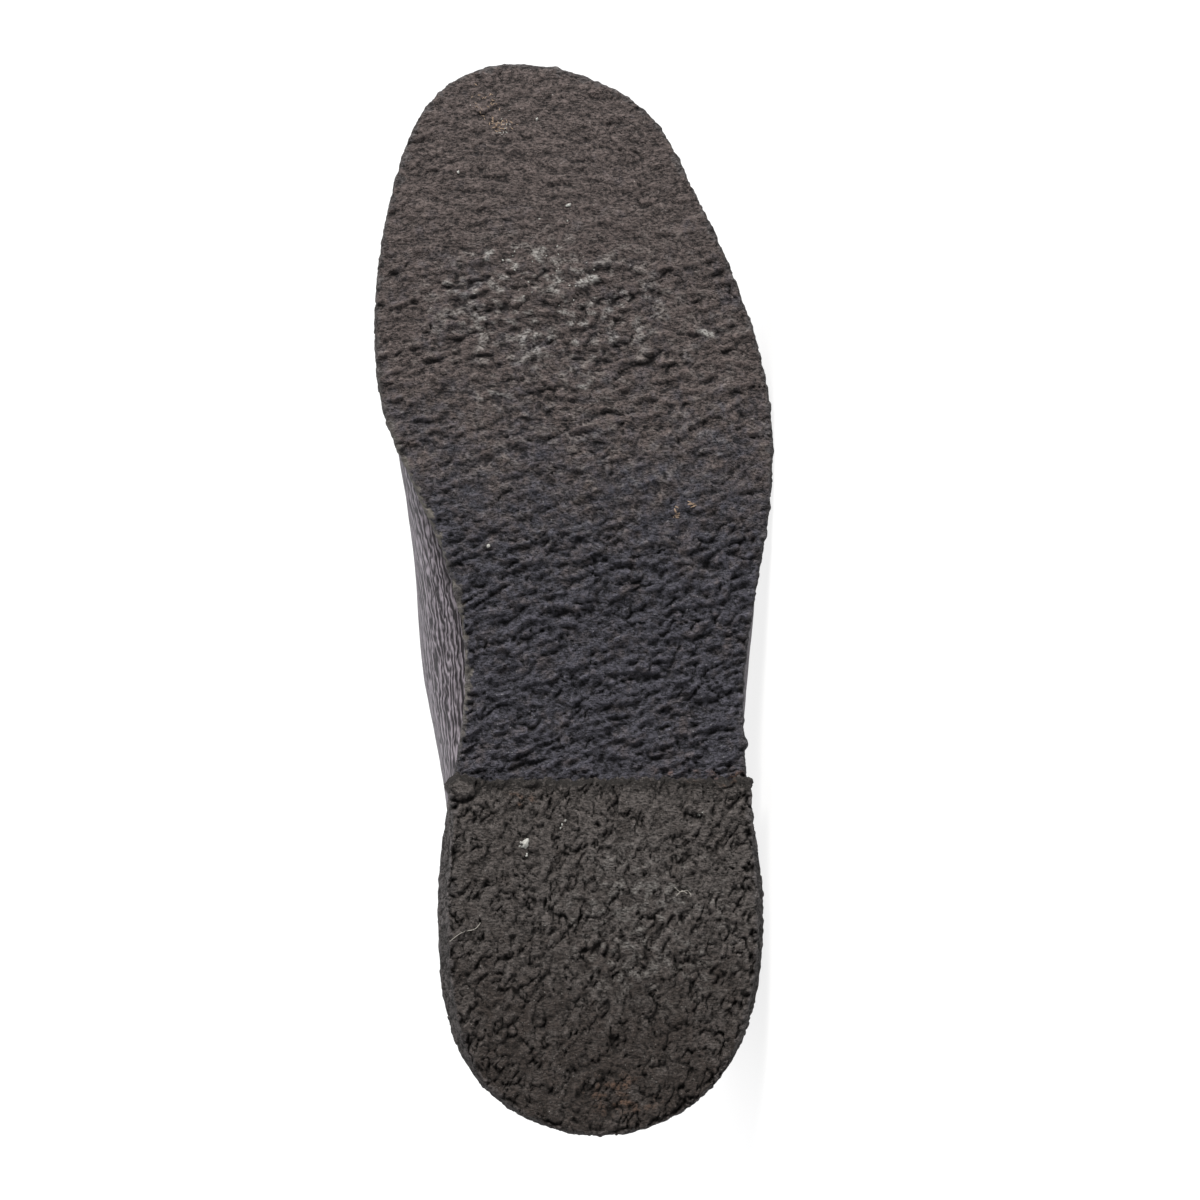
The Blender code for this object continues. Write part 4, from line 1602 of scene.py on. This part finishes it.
@dataclass
class HeelBlock(CrepePiece):
    """Crepe heel with a straight front and a chunky, crumbling tread."""

    tread_round: float = 1.2
    ragged: float = 0.95
    side_ragged: float = 0.45
    edge_lumps: tuple[EdgeLump, ...] = (
        EdgeLump(93.0, -37.5, 3.4, 1.5),
        EdgeLump(89.5, -40.5, 3.0, 0.8),
        EdgeLump(92.5, 39.5, 2.0, 0.3),
        EdgeLump(84.0, -41.0, 1.2, 0.6),
    )
    groove: float = 0.9
    hollow_shade: float = 0.95
    pitch: float = 0.40
    columns: int = 215
    back_row_x: float = 16.0
    rings: int = 15
    taper: float = 3.4
    corner_reach: float = 30.0
    unsanded: float = 0.2
    sanded_reach: float = 4.0
    lump_depth: float = 1.5
    crumble: CrepeGrain = CrepeGrain(
        along=2.9, across=2.4, shear=0.27, wander=1.9, overhang=0.4, flake=0.40, crumb=0.52, crack=0.90,
        cracks=Sample((0.75, 1.15, 1.0), 17.0), chunk=0.80, worn=0.45,
    )
    knob: EdgeLump = EdgeLump(90.8, -37.2, 3.9, 0.9)
    knob_squeeze: float = 1.7
    knob_fade: Fade = Fade(1.1, 0.6)
    knob_calm: float = 0.6
    moat_away: float = 1.2
    moat_width: float = 0.16
    moat_depth: float = 0.8
    cool_fade: Fade = Fade(80.0, 5.0)
    finish: CrepeFinish = CrepeFinish(
        name="crumbled_crepe",
        crevice_shade=(0.013, 0.011, 0.010),
        top=(0.081, 0.071, 0.067),
        cool_crevice_shade=(0.008, 0.006, 0.005),
        cool_top=(0.0355, 0.0275, 0.024),
    )

    def sanded(self, plan: Array) -> Array:
        """Share of sanding on the sides near plan points: none on the front."""
        breast_x = self.last.breast_x
        return Fade(breast_x - self.unsanded, breast_x - self.sanded_reach)(plan[:, 0])

    def build(self) -> Piece:
        """Build and dress the heel.

        Returns:
            The piece.
        """
        last = self.last
        side_x = np.arange(last.breast_x, self.back_row_x, -self.pitch)
        plan = SolePlan(last, side_x, self.columns, last.edge_offset, True, self.corner_reach)
        reach = last.heel_height - last.fit_gap
        heights = np.linspace(self.tread_round, reach, self.rings)
        levels = [Level(-self.taper * (1.0 - height / reach), height) for height in heights]
        levels[0] = Level(-(self.taper - self.tread_round), self.tread_round)
        flat = plan.grid(levels[0].out).reshape(-1, 2)
        away = self.knob.away(flat, self.knob_squeeze)
        dome = self.knob_fade(away)
        moat = np.exp(-(((away - self.moat_away) / self.moat_width) ** 2))
        relief = self.crumble.height(self.texture, flat) * (1.0 - self.knob_calm * dome)
        relief += self.knob.out * (dome - self.moat_depth * moat)
        depth = np.full(len(flat), self.lump_depth)
        draft, ring = self.mould(plan, levels, np.zeros_like, depth, relief)
        draft.close(ring)
        draft.marks["cool"] = self.cool_fade(draft.points[:, 0])
        draft.marks["raw_edge"] = np.zeros(len(draft.points))
        return draft.make("heel_crepe", self.pose, self.finish.material(), Slot.HEEL, "heel")


class Crease(NamedTuple):
    """A fold across the vamp: its x on the inner side, on top and on the outer side, how far it
    runs from side to side, in shares of half the ball width, and its width and depth."""

    name: str
    inner_x: float
    top_x: float
    outer_x: float
    start: float
    end: float
    width: float
    depth: float

    def run(self, lateral: Array) -> Array:
        """Share of the fold at places from side to side, less towards its ends."""
        fade = (self.end - self.start) / CREASE_FADE
        return Fade(self.start, self.start + fade)(lateral) * Fade(self.end, self.end - fade)(lateral)


class Bell(NamedTuple):
    """Part of a crease's profile, in widths of the crease: how far it sinks, its middle and its reach."""

    depth: float
    middle: float
    reach: float

    def sunk(self, away: Array) -> Array:
        """How far it sinks at distances from the crease."""
        return self.depth * np.exp(-(((away - self.middle) / self.reach) ** 2))


CREASE_FADE = 2.2
CREASE_BELLS = (Bell(1.0, 0.0, 1.0), Bell(0.3, 0.0, 0.25), Bell(-0.5, 1.9, 1.0), Bell(-0.35, -2.1, 1.0))
VAMP_CREASES = (
    Crease("flex_fold", 184.0, 195.0, 176.0, -1.25, 0.75, 4.6, 0.95),
    Crease("outer_branch", 205.0, 186.0, 158.0, 0.05, 1.30, 3.8, 0.80),
    Crease("throat_fold", 163.0, 181.0, 178.0, -1.15, 0.20, 3.4, 0.55),
    Crease("front_fold", 206.0, 207.0, 189.0, -0.75, 0.55, 4.2, 0.50),
    Crease("outer_front_fold", 215.0, 203.0, 184.0, 0.45, 1.25, 3.4, 0.50),
    Crease("inner_front_fold", 197.0, 217.0, 210.0, -1.20, -0.45, 3.2, 0.40),
)


class WallMesh(NamedTuple):
    """Steps of a wall's mesh: columns in front of, beside and behind the throat on each side, steps
    up to the widest line and from there to the top edge, and rings on the inner face."""

    vamp: int
    throat: int
    collar: int
    low: int
    high: int
    inner: int


def both_sides(side: Array) -> Array:
    """Places all the way round, from those on the inner side, toe to heel."""
    return np.concatenate([side, FULL_TURN - side[-2:0:-1]])


def welded(rows: int, partners: Array) -> Array:
    """Faces of a closed grid whose last row shares points between its two sides.

    Args:
        rows: Number of rows.
        partners: The column whose point each column uses in the last row.

    Returns:
        Four point numbers for each face.
    """
    columns = len(partners)
    faces = grid_quads(rows, columns, True)
    top = (rows - 1) * columns
    return np.where(faces >= top, top + partners[faces % columns], faces)


@dataclass
class Upper:
    """Leather upper, lasted in one piece, with its lining and the stitching round its top edge."""

    last: ShoeLast
    pose: LyingPose
    texture: Texture
    leather: float = 1.4
    leather_mesh: WallMesh = WallMesh(150, 80, 140, 38, 60, 13)
    lining_gap: float = 0.1
    lining: float = 0.7
    lining_cut: float = 0.8
    lining_mesh: WallMesh = WallMesh(44, 40, 44, 10, 24, 30)
    lip_steps: int = 4
    tumble_size: float = 7.0
    tumble_depth: float = 0.22
    grain_size: float = 3.0
    grain_share: float = 0.6
    pulled_back: Fade = Fade(70.0, 96.0)
    pulled_front: Fade = Fade(208.0, 176.0)
    pulled_height: Fade = Fade(50.0, 28.0)
    pulled_calm: float = 0.7
    rope_rise: float = 0.5
    low_fade: Fade = Fade(21.0, 7.0)
    rubbed_ridges: Fade = Fade(0.05, 0.5)
    rubbed_toe: Fade = Fade(255.0, 280.0)
    toe_rub: float = 0.5
    vamp_middle: float = -0.10
    vamp_side: float = 1.2
    strays: tuple[Ripple, ...] = (Ripple(5.0, (19.0, 30.0), 0.5), Ripple(1.3, (6.0, 9.0), 3.5))
    width_swell: Ripple = Ripple(0.8, (13.0, 1.0), 5.5)
    depth_swell: Ripple = Ripple(1.3, (11.0, 1.0), 7.5)
    crease_height: Fade = Fade(20.0, 38.0)
    wrinkle_depth: float = 0.38
    wrinkle_size: Triple = (6.5, 19.0, 19.0)
    wrinkle_slant: float = 40.0
    wrinkle_width: float = 0.30
    flex_back: Fade = Fade(158.0, 182.0)
    flex_front: Fade = Fade(226.0, 200.0)
    break_size: Triple = (9.0, 12.0, 12.0)
    break_shift: Triple = (0.0, 0.0, 31.0)
    break_fade: Fade = Fade(-0.15, 0.3)
    seam_width: float = 0.9
    seam_depth: float = 0.5
    seam_height: Fade = Fade(14.0, 22.0)
    heel_wear: float = 0.55
    heel_wear_x: Fade = Fade(60.0, 0.0)
    heel_wear_z: Fade = Fade(75.0, 40.0)
    toe_wear: float = 0.4
    toe_wear_x: Fade = Fade(150.0, 220.0)
    stitch_margin: float = 3.2
    stitch_pitch: float = 3.0
    stitch_length: float = 2.3
    stitch_radius: float = 0.30
    stitch_tip: float = 0.01
    stitch_arch: float = 0.12
    stitch_rings: int = 7
    stitch_sides: int = 8
    stitch_line_steps: tuple[int, int] = (160, 300)
    just_below: float = 0.97
    ankle_z: float = 40.0
    finish: LeatherFinish = LeatherFinish()
    lining_finish: TanLeatherFinish = TanLeatherFinish("tan_lining", (0.36, 0.25, 0.155), (0.20, 0.135, 0.08))
    thread: ThreadFinish = ThreadFinish()

    def side_places(self, mesh: WallMesh) -> Array:
        """Places of the columns along the inner side, closer together round the throat.

        Args:
            mesh: Steps of the wall.

        Returns:
            The places, toe to heel.
        """
        middle = self.last.throat_places(0.0, mesh.throat + 1)
        front = self.last.even_places(0.0, middle[0], mesh.vamp + 1)
        back = self.last.even_places(middle[-1], HEEL_PLACE, mesh.collar + 1)
        return np.concatenate([front[:-1], middle, back[1:]])

    def rings(self, place: Array, mesh: WallMesh, cut: float) -> Array:
        """Outer face of the upper, without its grain.

        Args:
            place: Places of the columns all the way round.
            mesh: Steps of the wall.
            cut: How far below the top edge to stop, in millimetres.

        Returns:
            Points by ring, from the lasted margin up, and column.
        """
        last = self.last
        margins = (last.lasting_margin, last.lasting_margin / 2)
        rings = [last.on_sole(last.wall_foot(place, -margin), 0.0) for margin in margins]
        rings += [last.lower_wall(place, share) for share in np.linspace(0.0, 1.0, mesh.low + 1)]
        highest = last.edge_angle(place, cut)
        shares = np.linspace(0.0, 1.0, mesh.high + 1)[1:]
        rings += [last.upper_wall(place, highest * share) for share in shares]
        return np.array(rings)

    def shell(self, mesh: WallMesh, skins: Span, cut: float = 0.0) -> tuple[Draft, Array]:
        """Close a layer of the upper's wall.

        Args:
            mesh: Steps of the wall.
            skins: Depths of the layer's two faces under the upper's outer face.
            cut: How far below the top edge the layer stops.

        Returns:
            The draft, and the directions out of its first points, by ring and column.
        """
        base = self.rings(both_sides(self.side_places(mesh)), mesh, cut)
        count, columns = base.shape[:2]
        column = np.arange(columns)
        partners = np.where(column >= columns - mesh.vamp, columns - column, column)
        outer_faces = welded(count, partners)
        normals = Draft(base.reshape(-1, 3), [outer_faces]).normals().reshape(base.shape)
        normals *= np.sign(np.sum(normals * (base - base.mean(axis=(0, 1)))))
        normals[-1] = normals[-1][partners]
        outer, inner = (base - normals * skin for skin in skins)
        inner = inner[np.linspace(0, count - 1, mesh.inner).round().astype(int)]
        inner_start = count * columns
        points = [outer.reshape(-1, 3), inner.reshape(-1, 3)]
        faces = [outer_faces, welded(mesh.inner, partners) + inner_start]
        lip = np.arange(mesh.vamp, columns - mesh.vamp)
        edge, out = base[-1][lip], normals[-1][lip]
        along = unit(np.roll(edge, -1, axis=0) - np.roll(edge, 1, axis=0))
        over = unit(np.cross(out, along))
        over *= np.sign(np.sum(over[:, 2]))
        half = (skins[1] - skins[0]) / 2
        centre = edge - out * (skins[0] + half)
        ring = (count - 1) * columns + lip
        for turn in np.linspace(0.0, math.pi, self.lip_steps + 1)[1:-1]:
            rolled = centre + half * (math.cos(turn) * out + math.sin(turn) * over)
            ring = add_ring(points, faces, ring, rolled)
        faces.append(strip_quads(ring, inner_start + (mesh.inner - 1) * columns + lip))
        faces.append(strip_quads(column, inner_start + column))
        return Draft(np.concatenate(points), faces), normals

    def folds(self, points: Array) -> Array:
        """How far the vamp's creases and the back seam sink the leather.

        Args:
            points: Points of the outer face.

        Returns:
            Depths in millimetres, negative on the ridges.
        """
        x, y, z = points.T
        lateral = 2.0 * (y / self.last.ball_width - self.vamp_middle)
        lateral = np.clip(lateral, -self.vamp_side, self.vamp_side)
        sunk = np.zeros(len(points))
        for crease in VAMP_CREASES:
            side_x = np.where(lateral < 0.0, crease.inner_x, crease.outer_x)
            stray = sum(ripple.over(self.texture, points[:, 1:], crease.top_x) for ripple in self.strays)
            run = stack(y, crease.top_x)
            width = crease.width * (1.0 + self.width_swell.over(self.texture, run))
            away = (x - crease.top_x - (side_x - crease.top_x) * lateral**2 - stray) / width
            profile = sum(bell.sunk(away) for bell in CREASE_BELLS)
            depth = crease.depth * (1.0 + self.depth_swell.over(self.texture, run))
            sunk += depth * profile * crease.run(lateral)
        flexed = self.flex_back(x) * self.flex_front(x)
        slanted = points / self.wrinkle_size + stack(y / self.wrinkle_slant, 0.0, 0.0)
        lines = 1.0 - self.texture.lumps(slanted, self.wrinkle_width)
        broken = self.break_fade(self.texture.smooth(points / self.break_size + self.break_shift))
        sunk += self.wrinkle_depth * flexed * lines * broken
        sunk *= self.crease_height(z)
        seam = self.seam_depth * np.exp(-((y / self.seam_width) ** 2)) * (x < self.last.breast_x / 2)
        return sunk + seam * self.seam_height(z)

    def build_leather(self) -> Piece:
        """Build and dress the leather.

        Returns:
            The piece.
        """
        draft, normals = self.shell(self.leather_mesh, (0.0, self.leather))
        smooth = draft.points[: normals.size // 3]
        x, y, z = smooth.T
        tumble = self.texture.smooth(smooth / self.tumble_size)
        tumble += self.grain_share * self.texture.smooth(smooth / self.grain_size)
        pulled = self.pulled_back(x) * self.pulled_front(x) * self.pulled_height(z) * (y < 0.0)
        sunk = self.folds(smooth)
        raised = self.tumble_depth * tumble * (1.0 - self.pulled_calm * pulled) - sunk
        grained = smooth + normals.reshape(-1, 3) * raised[:, None]
        draft.points[: len(grained)] = grained
        x, _, z = grained.T
        rub = self.rubbed_ridges(-sunk) + self.toe_rub * self.rubbed_toe(x)
        rings = grained.reshape(normals.shape)
        steps = np.diff(rings, axis=0, prepend=rings[:1]) * (1.0, 1.0, self.rope_rise)
        draft.mark("grain", tumble)
        draft.mark("rub", np.clip(rub, 0.0, 1.0))
        draft.mark("pulled", pulled)
        draft.mark("low", self.low_fade(z - self.last.sole_top(x)))
        draft.mark("climb", np.cumsum(np.linalg.norm(steps, axis=2), axis=0).ravel())
        return draft.make("upper_leather", self.pose, self.finish.material(), Slot.UPPER, "upper")

    def build_lining(self) -> Piece:
        """Build and dress the lining, which stops just below the leather's top edge.

        Returns:
            The piece.
        """
        outer = self.leather + self.lining_gap
        draft, _ = self.shell(self.lining_mesh, (outer, outer + self.lining), self.lining_cut)
        x, _, z = draft.points.T
        wear = self.heel_wear * self.heel_wear_x(x) * self.heel_wear_z(z)
        draft.mark("wear", wear + self.toe_wear * self.toe_wear_x(x))
        return draft.make("collar_lining", self.pose, self.lining_finish.material(), Slot.INSOLE)

    def build_stitching(self) -> Piece:
        """Build and dress the row of stitches below the top edge.

        Returns:
            The piece.
        """
        last = self.last
        throat_steps, collar_steps = self.stitch_line_steps
        throat = last.throat_places(self.stitch_margin, throat_steps)
        collar = np.linspace(throat[-1], HEEL_PLACE, collar_steps)
        place = both_sides(np.concatenate([throat, collar[1:]]))
        angle = last.edge_angle(place, self.stitch_margin)
        line = last.upper_wall(place, angle)
        climb = line - last.upper_wall(place, angle * self.just_below)
        line, climb = (np.vstack([values, values[:1]]) for values in (line, climb))
        reach = travelled(line)
        ends = np.linspace(0.0, math.pi, self.stitch_rings)
        shares = self.stitch_length / 2 * -np.cos(ends)
        radius = self.stitch_radius * np.sqrt(np.sin(ends)) + self.stitch_tip
        ankle = np.array([last.collar_low_x, 0.0, self.ankle_z])
        drafts = []
        for start in np.linspace(0.0, reach[-1], int(reach[-1] // self.stitch_pitch), endpoint=False):
            middle = start + self.stitch_pitch / 2
            at = stack(*(np.interp(middle + shares, reach, axis, period=reach[-1]) for axis in line.T))
            up = np.array([np.interp(middle, reach, axis) for axis in climb.T])
            along = unit(at[-1] - at[0])
            out = unit(np.cross(along, up))
            out = out if out @ (at[self.stitch_rings // 2] - ankle) > 0 else -out
            arched = at + np.sin(ends)[:, None] * out * self.stitch_arch
            drafts.append(tube(arched, radius, out, np.cross(out, along), self.stitch_sides))
        draft = Draft.joined(drafts)
        return draft.make("collar_stitching", self.pose, self.thread.material(), Slot.UPPER)


class FootPrint(NamedTuple):
    """A hollow pressed into the insole: its share of the full depth, its middle and its half sizes."""

    name: str
    share: float
    x: float
    y: float
    half_x: float
    half_y: float

    def depth(self, x: Array, y: Array) -> Array:
        """Share of the full depth at plan points."""
        away = ((x - self.x) / self.half_x) ** 2 + ((y - self.y) / self.half_y) ** 2
        return self.share * np.exp(-away)


@dataclass
class Insole:
    """Insole with its tan sock, hollowed a little by the foot."""

    last: ShoeLast
    pose: LyingPose
    thickness: float = 2.5
    pitch: float = 1.5
    columns: int = 61
    toe_row_x: float = 262.0
    heel_row_x: float = 18.0
    prints: tuple[FootPrint, ...] = (
        FootPrint("heel", 1.0, 48.0, 0.0, 26.0, 22.0),
        FootPrint("ball", 0.8, 195.0, -8.0, 24.0, 30.0),
        FootPrint("toes", 0.6, 243.0, -14.0, 12.0, 24.0),
    )
    print_depth: float = 0.5
    print_wear: float = 0.9
    finish: TanLeatherFinish = TanLeatherFinish("tan_sock", (0.34, 0.235, 0.145), (0.15, 0.10, 0.06))

    def build(self) -> Piece:
        """Build and dress the insole.

        Returns:
            The piece.
        """
        last = self.last
        gap = last.fit_gap
        seat = gap + last.wall + gap
        side_x = np.arange(self.toe_row_x, self.heel_row_x, -self.pitch)
        plan = SolePlan(last, side_x, self.columns, last.wall_foot)
        grid = plan.grid(-gap)
        x, y = grid.reshape(-1, 2).T
        pressed = np.clip(sum(footprint.depth(x, y) for footprint in self.prints), 0.0, 1.0)
        top = last.sole_top(x) + seat + self.thickness - self.print_depth * pressed
        points, faces = [stack(x, y, top)], [grid_quads(*grid.shape[:2])]
        filler = -last.lasting_margin - 2.0 * gap
        side = Level(gap, seat + self.thickness / 2)
        ring = border_loop(*grid.shape[:2])
        for level in (side, Level(-gap, seat), Level(filler, seat), Level(filler, gap)):
            band = plan.ring(level.out)
            ring = add_ring(points, faces, ring, stack(*band.T, last.sole_top(band[:, 0]) + level.height))
        draft = Draft(np.concatenate(points), faces + ladder_faces(ring))
        draft.mark("wear", self.print_wear * pressed)
        return draft.make("insole_sock", self.pose, self.finish.material(), Slot.INSOLE, "insole")


class GritKind(Enum):
    """What a bit of litter is made of, as its share of straw's colour."""

    STONE = 0.0
    LINT = 0.25
    STRAW = 1.0


class Grit(NamedTuple):
    """Bits of litter on the tread: place, half sizes, lie in degrees, number and how far they spread."""

    kind: GritKind
    x: float
    y: float
    half_long: float
    half_wide: float
    turn: float
    count: int = 1
    spread: float = 0.0


GRIT = (
    Grit(GritKind.STONE, 252.5, -37.2, 0.55, 0.40, 20.0),
    Grit(GritKind.STONE, 243.6, -8.4, 0.80, 0.45, 75.0),
    Grit(GritKind.STONE, 266.7, -16.8, 0.50, 0.38, 10.0),
    Grit(GritKind.STONE, 154.7, -29.9, 0.60, 0.45, 60.0),
    Grit(GritKind.STONE, 76.9, -20.4, 1.6, 0.95, 40.0),
    Grit(GritKind.STONE, 76.2, -21.6, 0.7, 0.50, 60.0, 3, 1.0),
    Grit(GritKind.STONE, 73.9, -19.9, 0.6, 0.40, 80.0, 2, 0.4),
    Grit(GritKind.STONE, 82.0, -10.8, 0.7, 0.40, 80.0, 3, 1.0),
    Grit(GritKind.STONE, 84.2, 25.7, 0.7, 0.30, 85.0, 3, 0.8),
    Grit(GritKind.STONE, 224.5, -15.0, 0.35, 0.22, 0.0, 30, 14.0),
    Grit(GritKind.STRAW, 270.5, -30.5, 0.60, 0.15, 40.0, 24, 4.0),
    Grit(GritKind.STRAW, 265.0, -26.4, 0.65, 0.16, 10.0, 36, 3.2),
    Grit(GritKind.STONE, 265.2, -25.4, 0.50, 0.12, 10.0, 14, 3.4),
    Grit(GritKind.STRAW, 165.4, 23.1, 1.60, 0.36, 70.0, 4, 0.8),
    Grit(GritKind.STRAW, 162.4, 19.6, 0.90, 0.36, 20.0, 8, 1.6),
)

# Plan points that each hair of lint passes.
HAIRS = (
    ((51.6, -40.0), (53.6, -37.6), (54.4, -35.4), (54.6, -33.4), (56.4, -32.0)),
    ((65.4, 18.6), (64.0, 20.0), (64.8, 22.0), (63.4, 22.8)),
    ((63.2, 19.0), (64.6, 20.6), (63.8, 21.8)),
)


@dataclass
class Litter:
    """Grit and straw caught in the tread, and a few hairs of lint."""

    outsole: Outsole
    heel: HeelBlock
    pose: LyingPose
    texture: Texture
    height: float = 0.38
    smaller: float = 0.6
    chip_detail: int = 2
    chip_size: float = 0.85
    chip_rough: float = 1.3
    chip_lumps: float = 1.9
    chip_footing: float = 0.7
    lint_radius: float = 0.075
    lint_rings: int = 24
    lint_sides: int = 6
    lint_softening: int = 6
    finish: LitterFinish = LitterFinish()

    def scatter(self, grit: Grit, draw: np.random.Generator) -> list[Grit]:
        """Spread one row of the table into its single bits.

        Args:
            grit: The row.
            draw: Where random numbers come from.

        Returns:
            The bits, of different sizes and lying all ways if there are several.
        """
        many = grit.count > 1
        steps = draw.normal(size=(grit.count, 2)) * grit.spread / 2
        turns = grit.turn + many * draw.uniform(0.0, 180.0, grit.count)
        sizes = 1.0 - many * draw.uniform(0.0, self.smaller, grit.count)
        places = steps + (grit.x, grit.y)
        return [
            Grit(grit.kind, *place, grit.half_long * size, grit.half_wide * size, turn)
            for place, turn, size in zip(places, turns, sizes)
        ]

    def chip(self, grit: Grit) -> Draft:
        """Shape one bit of grit.

        Args:
            grit: Where it lies and its sizes.

        Returns:
            A small rough lump on the tread.
        """
        sole = self.heel if grit.x < self.heel.last.breast_x else self.outsole
        ball = bmesh.new()
        bmesh.ops.create_icosphere(ball, subdivisions=self.chip_detail, radius=1.0)
        points = np.array([vertex.co for vertex in ball.verts])
        faces = np.array([[vertex.index for vertex in face.verts] for face in ball.faces])
        ball.free()
        rough = self.texture.smooth(points * self.chip_lumps + grit.x)
        points *= (self.chip_size + self.chip_rough * rough)[:, None]
        turn = math.radians(grit.turn)
        along = np.array([math.cos(turn), math.sin(turn), 0.0])
        across = np.array([-math.sin(turn), math.cos(turn), 0.0])
        height = min(self.height, grit.half_wide)
        sizes = np.stack([along * grit.half_long, across * grit.half_wide, [0.0, 0.0, -height]])
        foot = sole.tread_at(grit.x, grit.y, self.chip_footing * grit.half_wide)
        return Draft(foot + points @ sizes, [faces])

    def hair(self, path: Sequence[Span]) -> Draft:
        """Lay one hair of lint over the heel's tread.

        Args:
            path: Plan points that it passes.

        Returns:
            A thin tube.
        """
        knots = np.array(path)
        share = np.linspace(0.0, 1.0, self.lint_rings)
        reach = np.linspace(0.0, 1.0, len(knots))
        plan = stack(*(np.interp(share, reach, axis) for axis in knots.T))
        for _ in range(self.lint_softening):
            plan[1:-1] = (plan[:-2] + plan[1:-1] + plan[2:]) / 3
        heights = np.array([self.heel.tread_at(*point)[2] for point in plan])
        heights = np.minimum.reduce([np.roll(heights, step) for step in (-1, 0, 1)]) - self.lint_radius
        centre = stack(*plan.T, heights)
        along = unit(np.gradient(centre, axis=0))
        side = unit(np.cross(along, (0.0, 0.0, 1.0)))
        radius = np.full(len(centre), self.lint_radius)
        return tube(centre, radius, side, np.cross(side, along), self.lint_sides)

    def build(self) -> Piece:
        """Build and dress the litter as one piece.

        Returns:
            The piece.
        """
        draw = np.random.default_rng(self.texture.seed)
        bits = [(self.chip(bit), bit.kind) for grit in GRIT for bit in self.scatter(grit, draw)]
        bits += [(self.hair(path), GritKind.LINT) for path in HAIRS]
        for draft, kind in bits:
            draft.mark("straw", np.full(len(draft.points), kind.value))
        whole = Draft.joined([draft for draft, _ in bits])
        return whole.make("tread_litter", self.pose, self.finish.material())


class Lamp(NamedTuple):
    """A distant soft lamp: where it lies in the row frame, its strength, its width in degrees and its
    colour."""

    name: str
    towards: Triple
    strength: float
    width: float
    colour: Colour


@dataclass
class Studio:
    """White floor, soft lamps and the camera, square to the sole with the toe at the top."""

    pose: LyingPose
    floor_reach: float = 20.0
    floor_steps: int = 8
    floor: FloorFinish = FloorFinish()
    sky: float = 0.35
    lamps: tuple[Lamp, ...] = (
        Lamp("key", (0.78, -0.52, 0.34), 6.4, 26.0, (1.0, 0.985, 0.96)),
        Lamp("fill", (-0.30, 0.50, 0.81), 2.2, 80.0, (0.97, 0.98, 1.0)),
    )
    middle: Triple = (140.3, -0.7, 0.0)
    lean: float = 2.9
    pitch: float = 1.75
    roll: float = 0.15
    distance: float = 1200.0
    framed: float = 313.0

    def lay_floor(self) -> None:
        """Lay the floor under the shoe."""
        body = bmesh.new()
        steps = self.floor_steps
        bmesh.ops.create_grid(body, x_segments=steps, y_segments=steps, size=self.floor_reach)
        mesh = bpy.data.meshes.new("studio_floor")
        body.to_mesh(mesh)
        body.free()
        floor = bpy.data.objects.new("studio_floor", mesh)
        mesh.materials.append(self.floor.material())
        bpy.context.scene.collection.objects.link(floor)

    def light(self) -> None:
        """Light the scene with a white sky and soft lamps."""
        scene = bpy.context.scene
        scene.view_settings.view_transform = "Standard"
        scene.world = bpy.data.worlds.new("white_sky")
        scene.world.use_nodes = True
        sky = scene.world.node_tree.nodes["Background"]
        sky.inputs["Color"].default_value = WHITE
        sky.inputs["Strength"].default_value = self.sky
        for lamp in self.lamps:
            data = bpy.data.lights.new(lamp.name, "SUN")
            data.energy, data.angle, data.color = lamp.strength, math.radians(lamp.width), lamp.colour
            holder = bpy.data.objects.new(lamp.name, data)
            holder.rotation_euler = Vector(lamp.towards).to_track_quat("Z", "Y").to_euler()
            scene.collection.objects.link(holder)

    def aim(self) -> None:
        """Set up the camera."""
        lean, pitch, roll = np.radians((self.lean, self.pitch, self.roll))
        forward = unit(np.array([math.sin(pitch), math.sin(lean), math.cos(lean) * math.cos(pitch)]))
        up = np.array([math.cos(roll), math.sin(roll), 0.0])
        up = unit(up - forward * (up @ forward))
        right = np.cross(forward, up)
        data = bpy.data.cameras.new("camera")
        data.lens = data.sensor_width * self.distance / self.framed
        camera = bpy.data.objects.new("camera", data)
        turn = self.pose.turn([right, up, -forward]).T
        place = self.pose.place(np.array(self.middle) - forward * self.distance)
        camera.matrix_world = Matrix.Translation(place) @ Matrix(turn.tolist()).to_4x4()
        bpy.context.scene.collection.objects.link(camera)
        bpy.context.scene.camera = camera


def main() -> None:
    """Build the shoe's pieces in order, then the studio."""
    logging.basicConfig(level=logging.INFO, format="%(name)s: %(message)s")
    last = ShoeLast()
    pose = LyingPose.from_record(frame["record"])
    outsole = Outsole(last, pose, Texture(11))
    heel = HeelBlock(last, pose, Texture(23))
    upper = Upper(last, pose, Texture(37))
    report(outsole.build())
    report(heel.build())
    report(Insole(last, pose).build())
    report(upper.build_leather())
    report(upper.build_lining())
    report(upper.build_stitching())
    report(Litter(outsole, heel, pose, Texture(53)).build())
    studio = Studio(pose)
    studio.lay_floor()
    studio.light()
    studio.aim()


if __name__ == "__main__":
    main()
